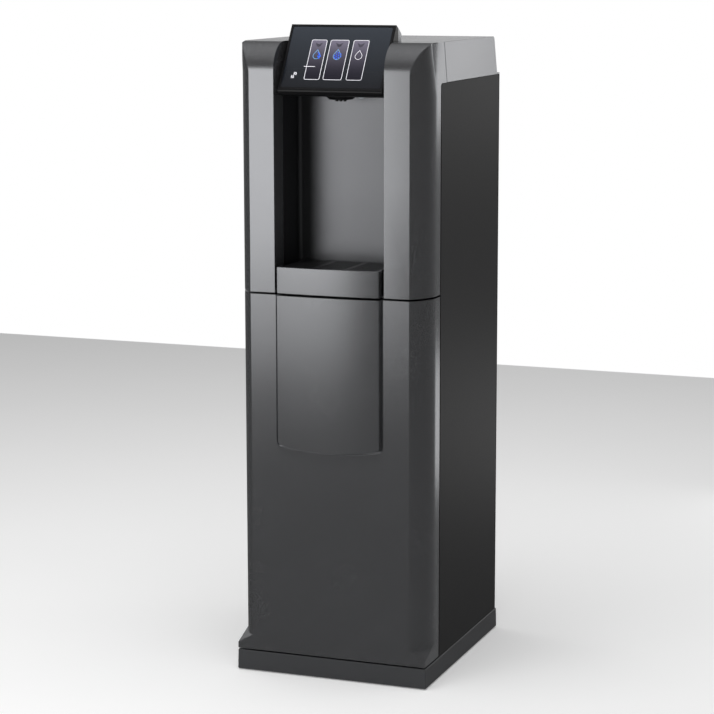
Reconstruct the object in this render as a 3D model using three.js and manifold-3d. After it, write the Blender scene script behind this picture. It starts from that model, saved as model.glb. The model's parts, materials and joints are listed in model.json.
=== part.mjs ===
// A floor-standing water dispenser, in millimetres, +Z up.
// Every piece is drawn with y = 0 on the cabinet's front plane, +x to the viewer's right and z = 0 on the
// floor. One group then moves the whole cabinet so that the origin is the middle of its footprint.
import * as THREE from 'three';
import { ConvexGeometry } from 'three/addons/geometries/ConvexGeometry.js';
import { mergeVertices } from 'three/addons/utils/BufferGeometryUtils.js';
import Module from 'manifold-3d';

// ---------------------------------------------------------------- driving dimensions
const GAP = 0.3;
const SKIN = 3;
const SHEET = 1.5;

const PLINTH = { half: 170, depth: 396, bottom: 1.5, top: 36, draft: 0.7 };
const HALF = 168.5;
const CREASE = 139.4;
const BEVEL_DEPTH = 53;
const FLANGE_END = 70.5;

const DOOR = { bottom: 38.5, top: 651.5 };
const FACET = { low: 49, inward: 0.559, rearward: 0.368 };
const PIVOT = { x: -161, y: 63, pin: 3, hole: 3.3 };

const FASCIA = { bottom: 655, top: 1066, inner: 96, split: 1000 };
const ROLL = { depth: 48, height: 48 };
const ALCOVE = { front: 40.3, back: 108, wall: 2.5, top: 996 };

const FACE = { half: 90, proud: 7, bulge: 4 };
const APRON = { corner: 401, sag: 10, groove: 4.5, lowGroove: 2.5, back: 5.7, pocket: 6 };
const TRAY = { half: 89.5, top: 699, wrap: 12, shelf: 2.5 };

const HEAD = { half: 91.5, frontY: 5, frontZ: 989, topY: 71, topZ: 1093, rearY: 97, rearZ: 1078, chin: 978 };
const NOZZLE = { y: 58, bottom: 968.5, radius: 24 };
const LENS_X = 36;

const PANEL = { front: 74.5, back: 387, bottom: 36.3, top: 999.7, flange: 10 };
const REAR = { front: 388.3, back: 390.3 };
const LOUVRES = [{ left: -140, right: -4, low: 70, rows: 9 }, { left: -110, right: 110, low: 890, rows: 5 }];
const LOUVRE_PITCH = 16;
const LOUVRE_HEIGHT = 7;
const FRAME = { half: 156.5, front: 78, back: 92, rail: 15.5 };
const SHELF = { bottom: 640, top: 642, half: 166.5, front: 94, back: 385 };

const FOOT = { x: 140, front: 34, rear: 362, radius: 16, pad: 7, stud: 5, studTop: 28 };
const FAN = { x: -70, z: 118, front: 318, back: 336, half: 78, hole: 70, blade: 66, hub: 20, blades: 5 };
const PAN_TOP = 38.3;
const COMPRESSOR = { x: 88, y: 300, radius: 58, bottom: 46, top: 200 };
const CYLINDER = { x: 112, y: 150, radius: 38, bottom: 38.6, shoulder: 380, neck: 414 };
const VALVE = { height: 36, reach: 24 };
const OUTLET_Z = CYLINDER.neck + GAP + VALVE.height / 2;
const REGULATOR_RIGHT = CYLINDER.x - VALVE.reach - GAP;
const REGULATOR = { right: REGULATOR_RIGHT, middle: REGULATOR_RIGHT - 20, length: 36, stem: 26 };
const FILTER = { x: -112, y: 150, radius: 38, bottom: 340, top: 585, neck: 15 };
const WASTE = { left: -153, right: 48, front: 104, back: 232, bottom: 38.6, top: 300, wall: 2.5 };
const FLOAT = { x: -100, y: 168, radius: 22, bottom: 232, top: 248 };
const COLD = { left: -152, right: 66, front: 150, back: 352, bottom: 642.3, top: 900 };
const CARBONATOR = { x: 116, y: 196, radius: 42, bottom: 642.3, top: 880, wall: 2 };
const INLET = { x: -130, z: 262 };
const MAINS = { x: 118, z: 240, halfWidth: 24, front: 364, face: 392.4 };
const SWITCH = { x: 118, z: 284, pivotY: 384, front: 366, tip: (8 * Math.PI) / 180 };
const DRAIN = { x: 0, y: 98, hole: 4 };
const LINE_DOWN = { x: -40, y: 300 };

const BOX_FRONT = FACE.proud + FACE.bulge;
const CENTRE_Y = (PLINTH.depth - BOX_FRONT) / 2;

// ---------------------------------------------------------------- finishes
const ANTHRACITE = { color: 0x717275, roughness: 0.42, metalness: 0 };
const PLINTH_GREY = { color: 0x4a4b4d, roughness: 0.55, metalness: 0 };
const PANEL_DARK = { color: 0x38393b, roughness: 0.38, metalness: 0.2 };
const BLACK = { color: 0x0e0e10, roughness: 0.35, metalness: 0 };
const ALCOVE_GREY = { color: 0x6c6e72, roughness: 0.4, metalness: 0 };
const GLASS_BLACK = { color: 0x1c2028, roughness: 0.08, metalness: 0 };
const BOARD_GREEN = { color: 0x1d4a33, roughness: 0.5, metalness: 0 };
const CLEAR = { color: 0xdfe8f2, roughness: 0.15, metalness: 0 };
const ZINC = { color: 0xa9adb1, roughness: 0.4, metalness: 0.9 };
const STEEL = { color: 0xb9bcc0, roughness: 0.28, metalness: 1 };
const FOAM = { color: 0x24262a, roughness: 0.9, metalness: 0 };
const COPPER = { color: 0xb8714a, roughness: 0.3, metalness: 1 };
const BRASS = { color: 0xc2a45c, roughness: 0.3, metalness: 1 };
const ALUMINIUM = { color: 0xc4c7ca, roughness: 0.35, metalness: 0.9 };
const WHITE_PLASTIC = { color: 0xe6e7e4, roughness: 0.45, metalness: 0 };
const MILKY = { color: 0xdfe2df, roughness: 0.4, metalness: 0 };
const CYLINDER_GREY = { color: 0x8d9196, roughness: 0.35, metalness: 0.3 };
const BLUE = { color: 0x2a66a8, roughness: 0.4, metalness: 0 };
const RUBBER = { color: 0x1b1b1c, roughness: 0.8, metalness: 0 };

// ---------------------------------------------------------------- solids
const wasm = await Module();
wasm.setup();

function solidOf(geometry) {
  const bare = geometry.clone();
  bare.deleteAttribute('normal');
  bare.deleteAttribute('uv');
  const merged = mergeVertices(bare, 1e-4);
  return new wasm.Manifold(new wasm.Mesh({
    numProp: 3,
    vertProperties: new Float32Array(merged.attributes.position.array),
    triVerts: new Uint32Array(merged.index.array),
  }));
}

function geometryOf(solid) {
  const { vertProperties, triVerts } = solid.getMesh();
  const geometry = new THREE.BufferGeometry();
  geometry.setAttribute('position', new THREE.BufferAttribute(vertProperties, 3));
  geometry.setIndex(new THREE.BufferAttribute(triVerts, 1));
  geometry.computeVertexNormals();
  return geometry;
}

const join = (first, ...others) => others.reduce((sum, solid) => sum.add(solid), first);
const cut = (first, ...tools) => tools.reduce((rest, tool) => rest.subtract(tool), first);

function box(x0, x1, y0, y1, z0, z1) {
  const geometry = new THREE.BoxGeometry(x1 - x0, y1 - y0, z1 - z0);
  return solidOf(geometry.translate((x0 + x1) / 2, (y0 + y1) / 2, (z0 + z1) / 2));
}

function extrude(points, depth) {
  const shape = new THREE.Shape(points.map(([a, b]) => new THREE.Vector2(a, b)));
  return new THREE.ExtrudeGeometry(shape, { depth, bevelEnabled: false });
}

// A plan outline of [x, y] points, raised from z0 to z1.
const plan = (points, z0, z1) => solidOf(extrude(points, z1 - z0).translate(0, 0, z0));

// A front outline of [x, z] points, running back from y0 to y1.
const front = (points, y0, y1) => solidOf(extrude(points, y1 - y0).rotateX(Math.PI / 2).translate(0, y1, 0));

// A side outline of [y, z] points, running across from x0 to x1.
function side(points, x0, x1) {
  const geometry = extrude(points, x1 - x0);
  geometry.applyMatrix4(new THREE.Matrix4().set(0, 0, 1, x0, 1, 0, 0, 0, 0, 1, 0, 0, 0, 0, 0, 1));
  return solidOf(geometry);
}

// A solid turned about a vertical axis, from [radius, z] points that start and end on the axis.
function turned(points, x, y, segments = 32) {
  const profile = points.map(([radius, z]) => new THREE.Vector2(radius, z));
  return solidOf(new THREE.LatheGeometry(profile, segments).rotateX(Math.PI / 2).translate(x, y, 0));
}

function post(radius, x, y, z0, z1, segments = 20) {
  return turned([[0, z0], [radius, z0], [radius, z1], [0, z1]], x, y, segments);
}

// The same about an axis along +Y, from [radius, y] points.
function turnedAlongY(points, x, z, segments = 32) {
  const profile = points.map(([radius, y]) => new THREE.Vector2(radius, y));
  return solidOf(new THREE.LatheGeometry(profile, segments).translate(x, 0, z));
}

function bar(radius, x, z, y0, y1, segments = 24) {
  return turnedAlongY([[0, y0], [radius, y0], [radius, y1], [0, y1]], x, z, segments);
}

// The same about an axis along +X, from [radius, x] points.
function turnedAlongX(points, y, z, segments = 24) {
  const profile = points.map(([radius, x]) => new THREE.Vector2(radius, x));
  return solidOf(new THREE.LatheGeometry(profile, segments).rotateZ(-Math.PI / 2).translate(0, y, z));
}

const HOSE_SIDES = 6;

function pipe(points, radius, steps) {
  const stops = points.map((point) => new THREE.Vector3(...point));
  const path = new THREE.CatmullRomCurve3(stops, false, 'centripetal');
  const ring = new THREE.Shape(Array.from({ length: HOSE_SIDES }, (_, i) => {
    const turn = (i / HOSE_SIDES) * 2 * Math.PI;
    return new THREE.Vector2(radius * Math.cos(turn), radius * Math.sin(turn));
  }));
  return solidOf(new THREE.ExtrudeGeometry(ring, { steps, extrudePath: path, bevelEnabled: false }));
}

const hull = (points) => solidOf(new ConvexGeometry(points.map((point) => new THREE.Vector3(...point))));
const mirrored = (points) => points.map(([x, ...rest]) => [-x, ...rest]);

// ---------------------------------------------------------------- shared outlines
// The corner bevel in plan: a shallow convex curve from the front face's crease to the side flange.
function bevelCurve(startX, startY, endX, endY, steps) {
  const spanX = endX - startX;
  const spanY = endY - startY;
  const curve = new THREE.CubicBezierCurve(
    new THREE.Vector2(startX, startY),
    new THREE.Vector2(startX + 0.364 * spanX, startY + 0.075 * spanY),
    new THREE.Vector2(endX, startY + 0.62 * spanY),
    new THREE.Vector2(endX, endY),
  );
  return curve.getPoints(steps).map((point) => [point.x, point.y]);
}

// The bowed face that the apron and the drip tray share.
function bowedOutline(half, inset, back) {
  const steps = 12;
  const points = [];
  for (let i = 0; i <= steps; i += 1) {
    const x = half * (2 * i / steps - 1);
    points.push([x, inset - FACE.proud - FACE.bulge * (1 - (x / FACE.half) ** 2)]);
  }
  return [...points, [half, back], [-half, back]];
}

// The apron's front outline, grown by a margin at its sides and below.
function apronOutline(sideMargin, lowMargin, top) {
  const half = FACE.half + sideMargin;
  const corner = 4;
  const steps = 12;
  const points = [[half, top]];
  for (let i = 0; i <= steps; i += 1) {
    const x = (half - corner) * (1 - 2 * i / steps);
    points.push([x, APRON.corner - lowMargin - APRON.sag * (1 - (x / half) ** 2)]);
  }
  points.splice(1, 0, [half, APRON.corner - lowMargin + corner]);
  points.push([-half, APRON.corner - lowMargin + corner], [-half, top]);
  return points;
}

// ---------------------------------------------------------------- base
function plinth() {
  const { half, depth, bottom, top, draft } = PLINTH;
  const corners = [];
  for (const [z, inset] of [[bottom, 0], [top, draft]]) {
    for (const x of [-half + inset, half - inset]) {
      corners.push([x, inset, z], [x, depth - inset, z]);
    }
  }
  const wall = 4;
  const hollow = box(-half + wall, half - wall, wall, depth - wall, 0, top - SKIN);
  const bosses = footPlaces().map(({ x, y }) => post(13, x, y, 12, top - 1, 12));
  const bores = footPlaces().map(({ x, y }) => post(FOOT.stud + GAP, x, y, 11, FOOT.studTop + 2, 12));
  return cut(join(cut(hull(corners), hollow), ...bosses), ...bores);
}

function footPlaces() {
  return [
    { name: 'foot_front_left', x: -FOOT.x, y: FOOT.front },
    { name: 'foot_front_right', x: FOOT.x, y: FOOT.front },
    { name: 'foot_rear_left', x: -FOOT.x, y: FOOT.rear },
    { name: 'foot_rear_right', x: FOOT.x, y: FOOT.rear },
  ];
}

const foot = ({ x, y }) => turned([
  [0, 0], [FOOT.radius - 1, 0], [FOOT.radius, 1], [FOOT.radius, FOOT.pad - 2],
  [FOOT.radius - 4, FOOT.pad], [FOOT.stud, FOOT.pad], [FOOT.stud, FOOT.studTop], [0, FOOT.studTop],
], x, y, 16);

function floorPan() {
  const outer = box(-156.6, 156.6, 94, 380, PANEL.bottom, 50);
  return cut(outer, box(-154.6, 154.6, 96, 378, PAN_TOP, 51));
}

// ---------------------------------------------------------------- cabinet panels
function sidePanel(sign) {
  const { front: y0, back: y1, bottom, top, flange } = PANEL;
  const radius = 5;
  const outline = [
    [y0, bottom], [y1, bottom], [y1, top], [y0 + radius, top], [y0 + 1.5, top - 1.5], [y0, top - radius],
  ];
  const inner = HALF - SHEET;
  const returns = [
    box(inner - flange, inner + 1, y0, y0 + SHEET, bottom, top - radius),
    box(inner - flange, inner + 1, y1 - SHEET, y1, bottom, top),
    box(inner - flange, inner + 1, y0, y1, bottom, bottom + SHEET),
  ];
  const panel = join(side(outline, inner, HALF), ...returns);
  return sign > 0 ? panel : panel.mirror([1, 0, 0]);
}

function rearPanel() {
  const sheet = box(-HALF, HALF, REAR.front, REAR.back, PANEL.bottom, PANEL.top);
  const slots = [];
  for (const { left, right, low, rows } of LOUVRES) {
    for (let row = 0; row < rows; row += 1) {
      const z = low + row * LOUVRE_PITCH;
      slots.push(box(left, right, REAR.front - 1, REAR.back + 1, z, z + LOUVRE_HEIGHT));
    }
  }
  const ports = [
    bar(11, INLET.x, INLET.z, REAR.front - 1, REAR.back + 1),
    box(MAINS.x - 20.5, MAINS.x + 20.5, REAR.front - 1, REAR.back + 1, MAINS.z - 11.5, MAINS.z + 11.5),
    box(SWITCH.x - 10.5, SWITCH.x + 10.5, REAR.front - 1, REAR.back + 1, SWITCH.z - 14.5, SWITCH.z + 14.5),
  ];
  return cut(sheet, ...slots, ...ports);
}

function topCover() {
  const { top, split } = FASCIA;
  const seam = 1;
  const wall = 2.5;
  const outer = side([
    [86.5, top], [358, top], [376, split + 3], [REAR.back, split + 3], [REAR.back, split],
    [100 + seam, split],
  ], -HALF, HALF);
  const inner = side([
    [60, top - wall], [356, top - wall], [373.5, split + 3], [373.5, split - 1], [60, split - 1],
  ], -HALF + wall, HALF - wall);
  const headNotch = box(-HEAD.half - GAP, HEAD.half + GAP, 80, HEAD.rearY + GAP, top - wall - 1, top + 1);
  return cut(outer, inner, headNotch);
}

// ---------------------------------------------------------------- front fascia
const rollY = (z, inset) => {
  const rise = Math.min(Math.max((z - (FASCIA.top - ROLL.height)) / (ROLL.height - inset), 0), 1);
  return ROLL.depth - (ROLL.depth - inset) * Math.sqrt(1 - rise * rise);
};

// The solid outline of the right column, shrunk by an inset on its outer faces. The bevel follows the rolled
// top and dies out at the shoulder.
function columnBlock(inset, innerX, bottom, back) {
  const top = FASCIA.top - inset;
  const side0 = HALF - inset;
  const bevelTop = 1064;
  const narrowFrom = 986;
  const points = [[innerX, back, bottom], [innerX, back, top], [side0, back, bottom], [side0, back, top]];
  const levels = [bottom, narrowFrom, 1018, 1026, 1034, 1042, 1049, 1055, 1060, bevelTop - inset, top];
  for (const z of levels) {
    const y = rollY(z, inset);
    const creaseX = CREASE + (HALF - CREASE) * Math.min(((y - inset) / 40) ** 0.65, 1) - inset;
    const narrowing = Math.min(Math.max((z - narrowFrom) / (bevelTop - narrowFrom), 0), 1);
    const flangeY = Math.max(BEVEL_DEPTH - 15 * narrowing, y);
    points.push([innerX, y, z]);
    const bevel = bevelCurve(Math.min(creaseX, side0), y, side0, flangeY, 6);
    points.push(...bevel.map(([bx, by]) => [bx, by, z]));
  }
  return points;
}

function frontFascia() {
  const { bottom, top, inner, split } = FASCIA;
  const outer = columnBlock(0, inner, bottom, 110);
  const hollow = columnBlock(SKIN, inner + SKIN, bottom + SKIN, 120);
  const behind = side([
    [FLANGE_END, 600], [FLANGE_END, split], [100, split], [85.5, top],
    [85.5, top + 20], [200, top + 20], [200, 600],
  ], -HALF - 5, HALF + 5);
  const linerRoom = box(90, inner + SKIN + 0.4, ALCOVE.front - GAP, 120, bottom + 3, ALCOVE.top + 6);
  const columns = join(
    cut(hull(outer), hull(hollow)),
    cut(hull(mirrored(outer)), hull(mirrored(hollow))),
  );
  const shelfTop = bottom + TRAY.shelf;
  const shelf = box(-inner - SKIN, inner + SKIN, TRAY.wrap + 1, FLANGE_END - 0.5, bottom, shelfTop);
  const shelfRear = box(-inner, inner, FLANGE_END - 1, 104, bottom, shelfTop);
  const bridge = box(-inner - 2, inner + 2, 84, 88, 1012, 1045);
  const drain = post(DRAIN.hole + 1, DRAIN.x, DRAIN.y, bottom - 1, bottom + 4, 16);
  return cut(
    join(cut(columns, behind, linerRoom, linerRoom.mirror([1, 0, 0])), shelf, shelfRear, bridge),
    drain,
  );
}

function alcoveLiner() {
  const { front: y0, back: y1, wall, top } = ALCOVE;
  const half = FASCIA.inner;
  const low = FASCIA.bottom + SKIN + GAP;
  const outer = box(-half - wall, half + wall, y0, y1 + wall, low, top);
  return cut(outer, box(-half, half, y0 - 1, y1, low - 1, top + 1));
}

// ---------------------------------------------------------------- control head
// The panel frame: u across, v up the slant from the lower edge, w out of the face.
const slant = new THREE.Vector2(HEAD.topY - HEAD.frontY, HEAD.topZ - HEAD.frontZ);
const slantLength = slant.length();
const slantUp = new THREE.Vector3(0, slant.x / slantLength, slant.y / slantLength);
const slantOut = new THREE.Vector3(0, -slant.y / slantLength, slant.x / slantLength);
const panelFrame = new THREE.Matrix4()
  .makeBasis(new THREE.Vector3(1, 0, 0), slantUp, slantOut)
  .setPosition(0, HEAD.frontY, HEAD.frontZ);

function panelPlate(halfWidth, v0, v1, w0, w1, radius) {
  const arc = (cx, cy, start) => Array.from({ length: 5 }, (_, i) => {
    const turn = start + (i / 4) * (Math.PI / 2);
    return [cx + radius * Math.cos(turn), cy + radius * Math.sin(turn)];
  });
  const right = halfWidth - radius;
  const outline = [
    ...arc(right, v0 + radius, -Math.PI / 2),
    ...arc(right, v1 - radius, 0),
    ...arc(-right, v1 - radius, Math.PI / 2),
    ...arc(-right, v0 + radius, Math.PI),
  ];
  return solidOf(extrude(outline, w1 - w0).translate(0, 0, w0).applyMatrix4(panelFrame));
}

const GLASS = { half: HEAD.half - 4.5, edge: 4.5, thickness: 2, recess: 0.4 };

function headBezel() {
  const { half, frontY, frontZ, topY, topZ } = HEAD;
  const wall = 2.5;
  const faceWall = 5;
  const seam = 80;
  const slope = (HEAD.rearZ - topZ) / (HEAD.rearY - topY);
  const seamZ = topZ + slope * (seam - topY);
  const outer = side([[frontY, frontZ], [seam, frontZ], [seam, seamZ], [topY, topZ]], -half, half);
  const down = faceWall / slantUp.z;
  const hollow = side([
    [frontY + down, frontZ - 1], [seam + 1, frontZ - 1], [seam + 1, seamZ - wall - 0.6],
    [topY + 2.6, topZ - wall - 1.5],
  ], -half + wall, half - wall);
  const { half: glassHalf, edge, thickness, recess } = GLASS;
  const ledge = 5;
  const seat = panelPlate(glassHalf, edge, slantLength - edge, -thickness - recess - GAP, 1, 3);
  const window = panelPlate(glassHalf - ledge, edge + ledge, slantLength - edge - ledge, -faceWall - 3, 1, 3);
  return cut(outer, hollow, seat, window);
}

const touchGlass = () => panelPlate(GLASS.half - GAP, GLASS.edge + GAP, slantLength - GLASS.edge - GAP,
  -GLASS.thickness - GLASS.recess, -GLASS.recess, 3);

function displayBoard() {
  const keys = [-0.32, 0, 0.32].map((place) => {
    const middle = place * 2 * GLASS.half;
    const key = new THREE.BoxGeometry(26, 60, 6.3).translate(middle, 56, -5.85);
    return solidOf(key.applyMatrix4(panelFrame));
  });
  return join(panelPlate(80, 12, slantLength - 14, -10.5, -8.9, 2), ...keys);
}

function headRearCover() {
  const { half, topY, topZ, rearY, rearZ } = HEAD;
  const wall = 2.5;
  const seam = 80 + GAP;
  const slope = (rearZ - topZ) / (rearY - topY);
  const seamZ = topZ + slope * (seam - topY);
  const low = FASCIA.top - wall;
  const cap = side([[seam, low], [rearY - 1.5, low], [rearY, rearZ], [seam, seamZ]], -half, half);
  const hollow = side([
    [seam - 1, low + wall], [rearY - 4, low + wall], [rearY - 3.2, rearZ - 1.2], [seam - 1, seamZ - wall],
  ], -half + wall, half - wall);
  const wallDown = box(-half, half, seam, seam + wall, HEAD.frontZ + 1, low + 1);
  const tubeHole = bar(6, 0, 1003, seam - 1, seam + wall + 1, 16);
  return cut(join(cut(cap, hollow), wallDown), tubeHole);
}

function headBase() {
  const { half, frontY, frontZ, chin } = HEAD;
  const wall = 2.5;
  const top = frontZ - GAP;
  const back = ALCOVE.back - GAP;
  const edge = half - 0.5;
  const outer = side([
    [frontY + 0.5, top], [frontY + 0.5, frontZ - 3], [frontY + 5, chin + 2.5], [frontY + 14, chin],
    [back, chin], [back, top],
  ], -edge, edge);
  const hollow = box(-edge + wall, edge - wall, frontY + 5.5, back - wall, chin + wall + 1, top + 1);
  const stemHole = post(10 + GAP, 0, NOZZLE.y, chin - 1, top, 20);
  const lensHole = post(4 + GAP, LENS_X, NOZZLE.y, chin - 1, top, 12);
  return cut(outer, hollow, stemHole, lensHole);
}

function nozzle() {
  const under = HEAD.chin - GAP;
  const body = turned([
    [0, 971], [14, 971], [20, 973], [NOZZLE.radius, under - 1.5], [NOZZLE.radius, under], [10, under],
    [10, 996], [7, 996], [7, 1000], [4.5, 1000], [4.5, 980], [0, 980],
  ], 0, NOZZLE.y, 20);
  const outlets = [-7, 0, 7].map((x) => post(2.6, x, NOZZLE.y, NOZZLE.bottom, 972, 8));
  return join(body, ...outlets);
}

const lightLens = () => turned([
  [0, 973.6], [3.5, 974], [6, 975.4], [6.8, 977], [6.8, HEAD.chin - GAP],
  [4, HEAD.chin - GAP], [4, 984], [0, 984],
], LENS_X, NOZZLE.y, 16);

// ---------------------------------------------------------------- drip tray
function trayFront() {
  const outer = plan(bowedOutline(TRAY.half, 0, TRAY.wrap), FASCIA.bottom, TRAY.top);
  const hollow = plan(bowedOutline(TRAY.half - SKIN, SKIN, TRAY.wrap + 5), FASCIA.bottom - 1, TRAY.top + 1);
  return cut(outer, hollow);
}

function trayBasin() {
  const half = TRAY.half - SKIN - 0.5;
  const wall = 2.5;
  const low = FASCIA.bottom + TRAY.shelf + GAP;
  const rim = TRAY.top - 5;
  const outer = box(-half, half, -3.4, 104, low, rim);
  const hollow = box(-half + wall, half - wall, -3.4 + wall, 104 - wall, low + wall, rim + 1);
  return cut(outer, hollow, post(DRAIN.hole, DRAIN.x, DRAIN.y, low - 1, low + wall + 1, 12));
}

function dripGrille() {
  const half = TRAY.half - SKIN - 1;
  const low = TRAY.top - 5 + GAP;
  const high = TRAY.top - 0.8;
  const plate = plan(bowedOutline(half, SKIN + 0.6, 103.6), low, high);
  const rows = 8;
  const pitch = 11.5;
  const slots = [];
  for (let row = 0; row < rows; row += 1) {
    const y = 8 + row * pitch;
    slots.push(box(-half + 10, -2.5, y, y + 5, low - 1, high + 1));
    slots.push(box(2.5, half - 10, y, y + 5, low - 1, high + 1));
  }
  return cut(plate, ...slots);
}

// ---------------------------------------------------------------- door
function doorShell() {
  const { bottom, top } = DOOR;
  const block = box(-HALF, HALF, 0, FLANGE_END, bottom, top);
  const curve = bevelCurve(CREASE, 0, HALF, BEVEL_DEPTH, 10);
  const outside = [...curve, [HALF + 5, BEVEL_DEPTH], [HALF + 5, -5], [CREASE, -5]];
  // The bevel stops above the door's square lower corner on a sloping three-sided facet.
  const facetZ = (x, y) => FACET.low + FACET.inward * (HALF - x) + FACET.rearward * y;
  const above = [];
  for (const x of [130, 180]) {
    for (const y of [-10, 60]) {
      above.push([x, y, facetZ(x, y)], [x, y, top + 20]);
    }
  }
  const bevel = plan(outside, 30, top + 10).intersect(hull(above));
  const bevelLeft = bevel.mirror([1, 0, 0]);
  const inside = bevelCurve(CREASE - 1, SKIN, HALF - SKIN, BEVEL_DEPTH, 6);
  const insideOutline = [...inside, [HALF - SKIN, 80], [SKIN - HALF, 80], ...mirrored(inside).reverse()];
  const hollow = plan(insideOutline, bottom + SKIN, top - SKIN);
  const shell = cut(block, bevel, bevelLeft, hollow);
  const pocketWall = APRON.pocket + SKIN;
  const { groove, lowGroove, pocket } = APRON;
  const recessBlock = front(apronOutline(groove + SKIN, lowGroove + SKIN, top - 1), SKIN - 1, pocketWall);
  const recess = front(apronOutline(groove, lowGroove, top + 5), -1, pocket);
  const pinHole = post(PIVOT.hole, PIVOT.x, PIVOT.y, bottom - 1, top + 1, 20);
  const pinBosses = join(
    post(PIVOT.hole + 2.6, PIVOT.x + 1, PIVOT.y, bottom + 1, bottom + 10, 20),
    post(PIVOT.hole + 2.6, PIVOT.x + 1, PIVOT.y, top - 10, top - 1, 20),
  );
  return cut(join(shell, recessBlock, pinBosses), recess, pinHole);
}

function apronPanel() {
  const top = DOOR.top;
  const block = plan(bowedOutline(FACE.half, 0, APRON.back), APRON.corner - APRON.sag - 5, top);
  const outline = front(apronOutline(0, 0, top + 1), -20, 20);
  const hollow = plan(bowedOutline(FACE.half - SKIN, SKIN, 10), APRON.corner + 5, top - SKIN);
  return block.intersect(outline).subtract(hollow);
}

function doorLiner() {
  const pan = cut(box(-150, 150, 46, 62, 60, 630), box(-148, 148, 45, 60, 62, 628));
  const posts = [];
  for (const x of [-126, 126]) {
    for (const z of [110, 345, 580]) {
      posts.push(bar(6, x, z, SKIN + GAP, 61, 10));
    }
  }
  return join(pan, ...posts);
}

const strikePlate = () => box(137, 149.5, 62.3, 64.3, 318, 372);
const magnetCatch = () => box(142, 150, 64.6, FRAME.front - GAP, 322, 368);

function doorFrame() {
  const low = 38.6;
  const high = 651.4;
  const outer = box(-FRAME.half, FRAME.half, FRAME.front, FRAME.back, low, high);
  const open = FRAME.half - FRAME.rail;
  const opening = box(-open, open, FRAME.front - 1, FRAME.back + 1, low + FRAME.rail, high - FRAME.rail);
  const lightLip = box(FRAME.half - 5.5, FRAME.half, 67, FRAME.front + 1, 60, 630);
  return join(cut(outer, opening), lightLip);
}

function hingeBracket(z0, z1, pin0, pin1) {
  const arm = plan([
    [PIVOT.x - 5, PIVOT.y - 5.5], [PIVOT.x + 6, PIVOT.y - 5.5], [-140, 75], [-140, 91],
    [-156, 91], [-156, 73.4], [PIVOT.x - 5, PIVOT.y + 5],
  ], z0, z1);
  return join(arm, post(PIVOT.pin, PIVOT.x, PIVOT.y, pin0, pin1, 20));
}

// ---------------------------------------------------------------- upper compartment
function midShelf() {
  const { bottom, top, half, front: y0, back: y1 } = SHELF;
  const sheet = box(-half, half, y0, y1, bottom, top);
  const lip = box(-140, 140, y0, y0 + 2, bottom - 14, bottom + 1);
  const holes = [
    [DRAIN.x, DRAIN.y, 7], [LINE_DOWN.x, LINE_DOWN.y, 9], [CARBONATOR.x, CARBONATOR.y, 9], [-112, 130, 9],
  ].map(([x, y, radius]) => post(radius, x, y, bottom - 1, top + 1, 16));
  const hoseNotch = box(-8, 8, y0 - 1, DRAIN.y, bottom - 20, top + 1);
  const cableNotch = box(96, 128, 346, y1 + 1, bottom - 1, top + 1);
  return cut(join(sheet, lip), ...holes, hoseNotch, cableNotch);
}

function coldTank() {
  const { left, right, front: y0, back: y1, bottom, top } = COLD;
  const chamfer = 12;
  return plan([
    [left + chamfer, y0], [right - chamfer, y0], [right, y0 + chamfer], [right, y1 - chamfer],
    [right - chamfer, y1], [left + chamfer, y1], [left, y1 - chamfer], [left, y0 + chamfer],
  ], bottom, top);
}

function coldTankLid() {
  const { left, right, front: y0, back: y1, top } = COLD;
  const lid = box(left - 2, right + 2, y0 - 2, y1 + 2, top + GAP, top + 12);
  const spigots = [[-110, 200], [0, 176], [-110, 310]].map(([x, y]) => post(7, x, y, top + 11, top + 26, 16));
  return join(lid, ...spigots);
}

function carbonator() {
  const { x, y, radius, bottom, top, wall } = CARBONATOR;
  const dome = (inset) => turned([
    [0, bottom + inset], [18, bottom + inset], [36 - inset, bottom + 6 + inset / 2],
    [radius - inset, bottom + 18], [radius - inset, top - 18], [36 - inset, top - 6 - inset / 2],
    [18, top - inset], [0, top - inset],
  ], x, y, 24);
  const stemTop = top + 18;
  const stem = post(6, x, y, top - 1, stemTop, 12);
  const bore = post(3, x, y, top - 2 * wall, stemTop + 1, 12);
  return cut(join(dome(0), stem), dome(wall), bore);
}

function valveBlock() {
  const low = COLD.top + 12 + GAP;
  const body = box(-46, 46, 220, 252, low, low + 30);
  const coils = [-30, 0, 30].map((x) => box(x - 11, x + 11, 214, 258, low + 29, low + 58));
  return join(body, ...coils);
}

function waterPump() {
  const x = 112;
  const z = 692;
  const motor = turnedAlongY([[0, 268], [30, 268], [34, 272], [34, 338], [0, 338]], x, z, 24);
  const head = turnedAlongY([[0, 337], [22, 337], [22, 372], [14, 376], [0, 376]], x, z, 20);
  const foot0 = box(x - 30, x + 30, 280, 330, SHELF.top + GAP, z - 20);
  return join(motor, head, foot0);
}

const controlBox = () => join(
  box(76, HALF - SHEET - GAP, 262, 372, 746, 900),
  box(73, HALF - SHEET - GAP, 259, 375, 892, 906),
);

const dispenseLine = () => pipe([
  [0, 176, COLD.top + 27], [0, 172, 950], [0, 150, 985], [0, 122, 1002], [0, 100, 1003], [0, 72, 1003.5],
], 4, 14);

// ---------------------------------------------------------------- lower compartment
function compressor() {
  const { x, y, radius, bottom, top } = COMPRESSOR;
  const pot = turned([
    [0, bottom], [38, bottom], [52, bottom + 10], [radius, bottom + 30], [radius, top - 48],
    [radius - 3, top - 30], [radius - 14, top - 12], [28, top - 2], [0, top],
  ], x, y, 24);
  const plate = box(x - 62, x + 62, y - 60, y + 60, PAN_TOP + GAP, PAN_TOP + 4.3);
  const legs = [];
  for (const dx of [-30, 30]) {
    for (const dy of [-30, 30]) {
      legs.push(post(7, x + dx, y + dy, 42, bottom + 8, 8));
    }
  }
  return join(pot, plate, ...legs);
}

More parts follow.
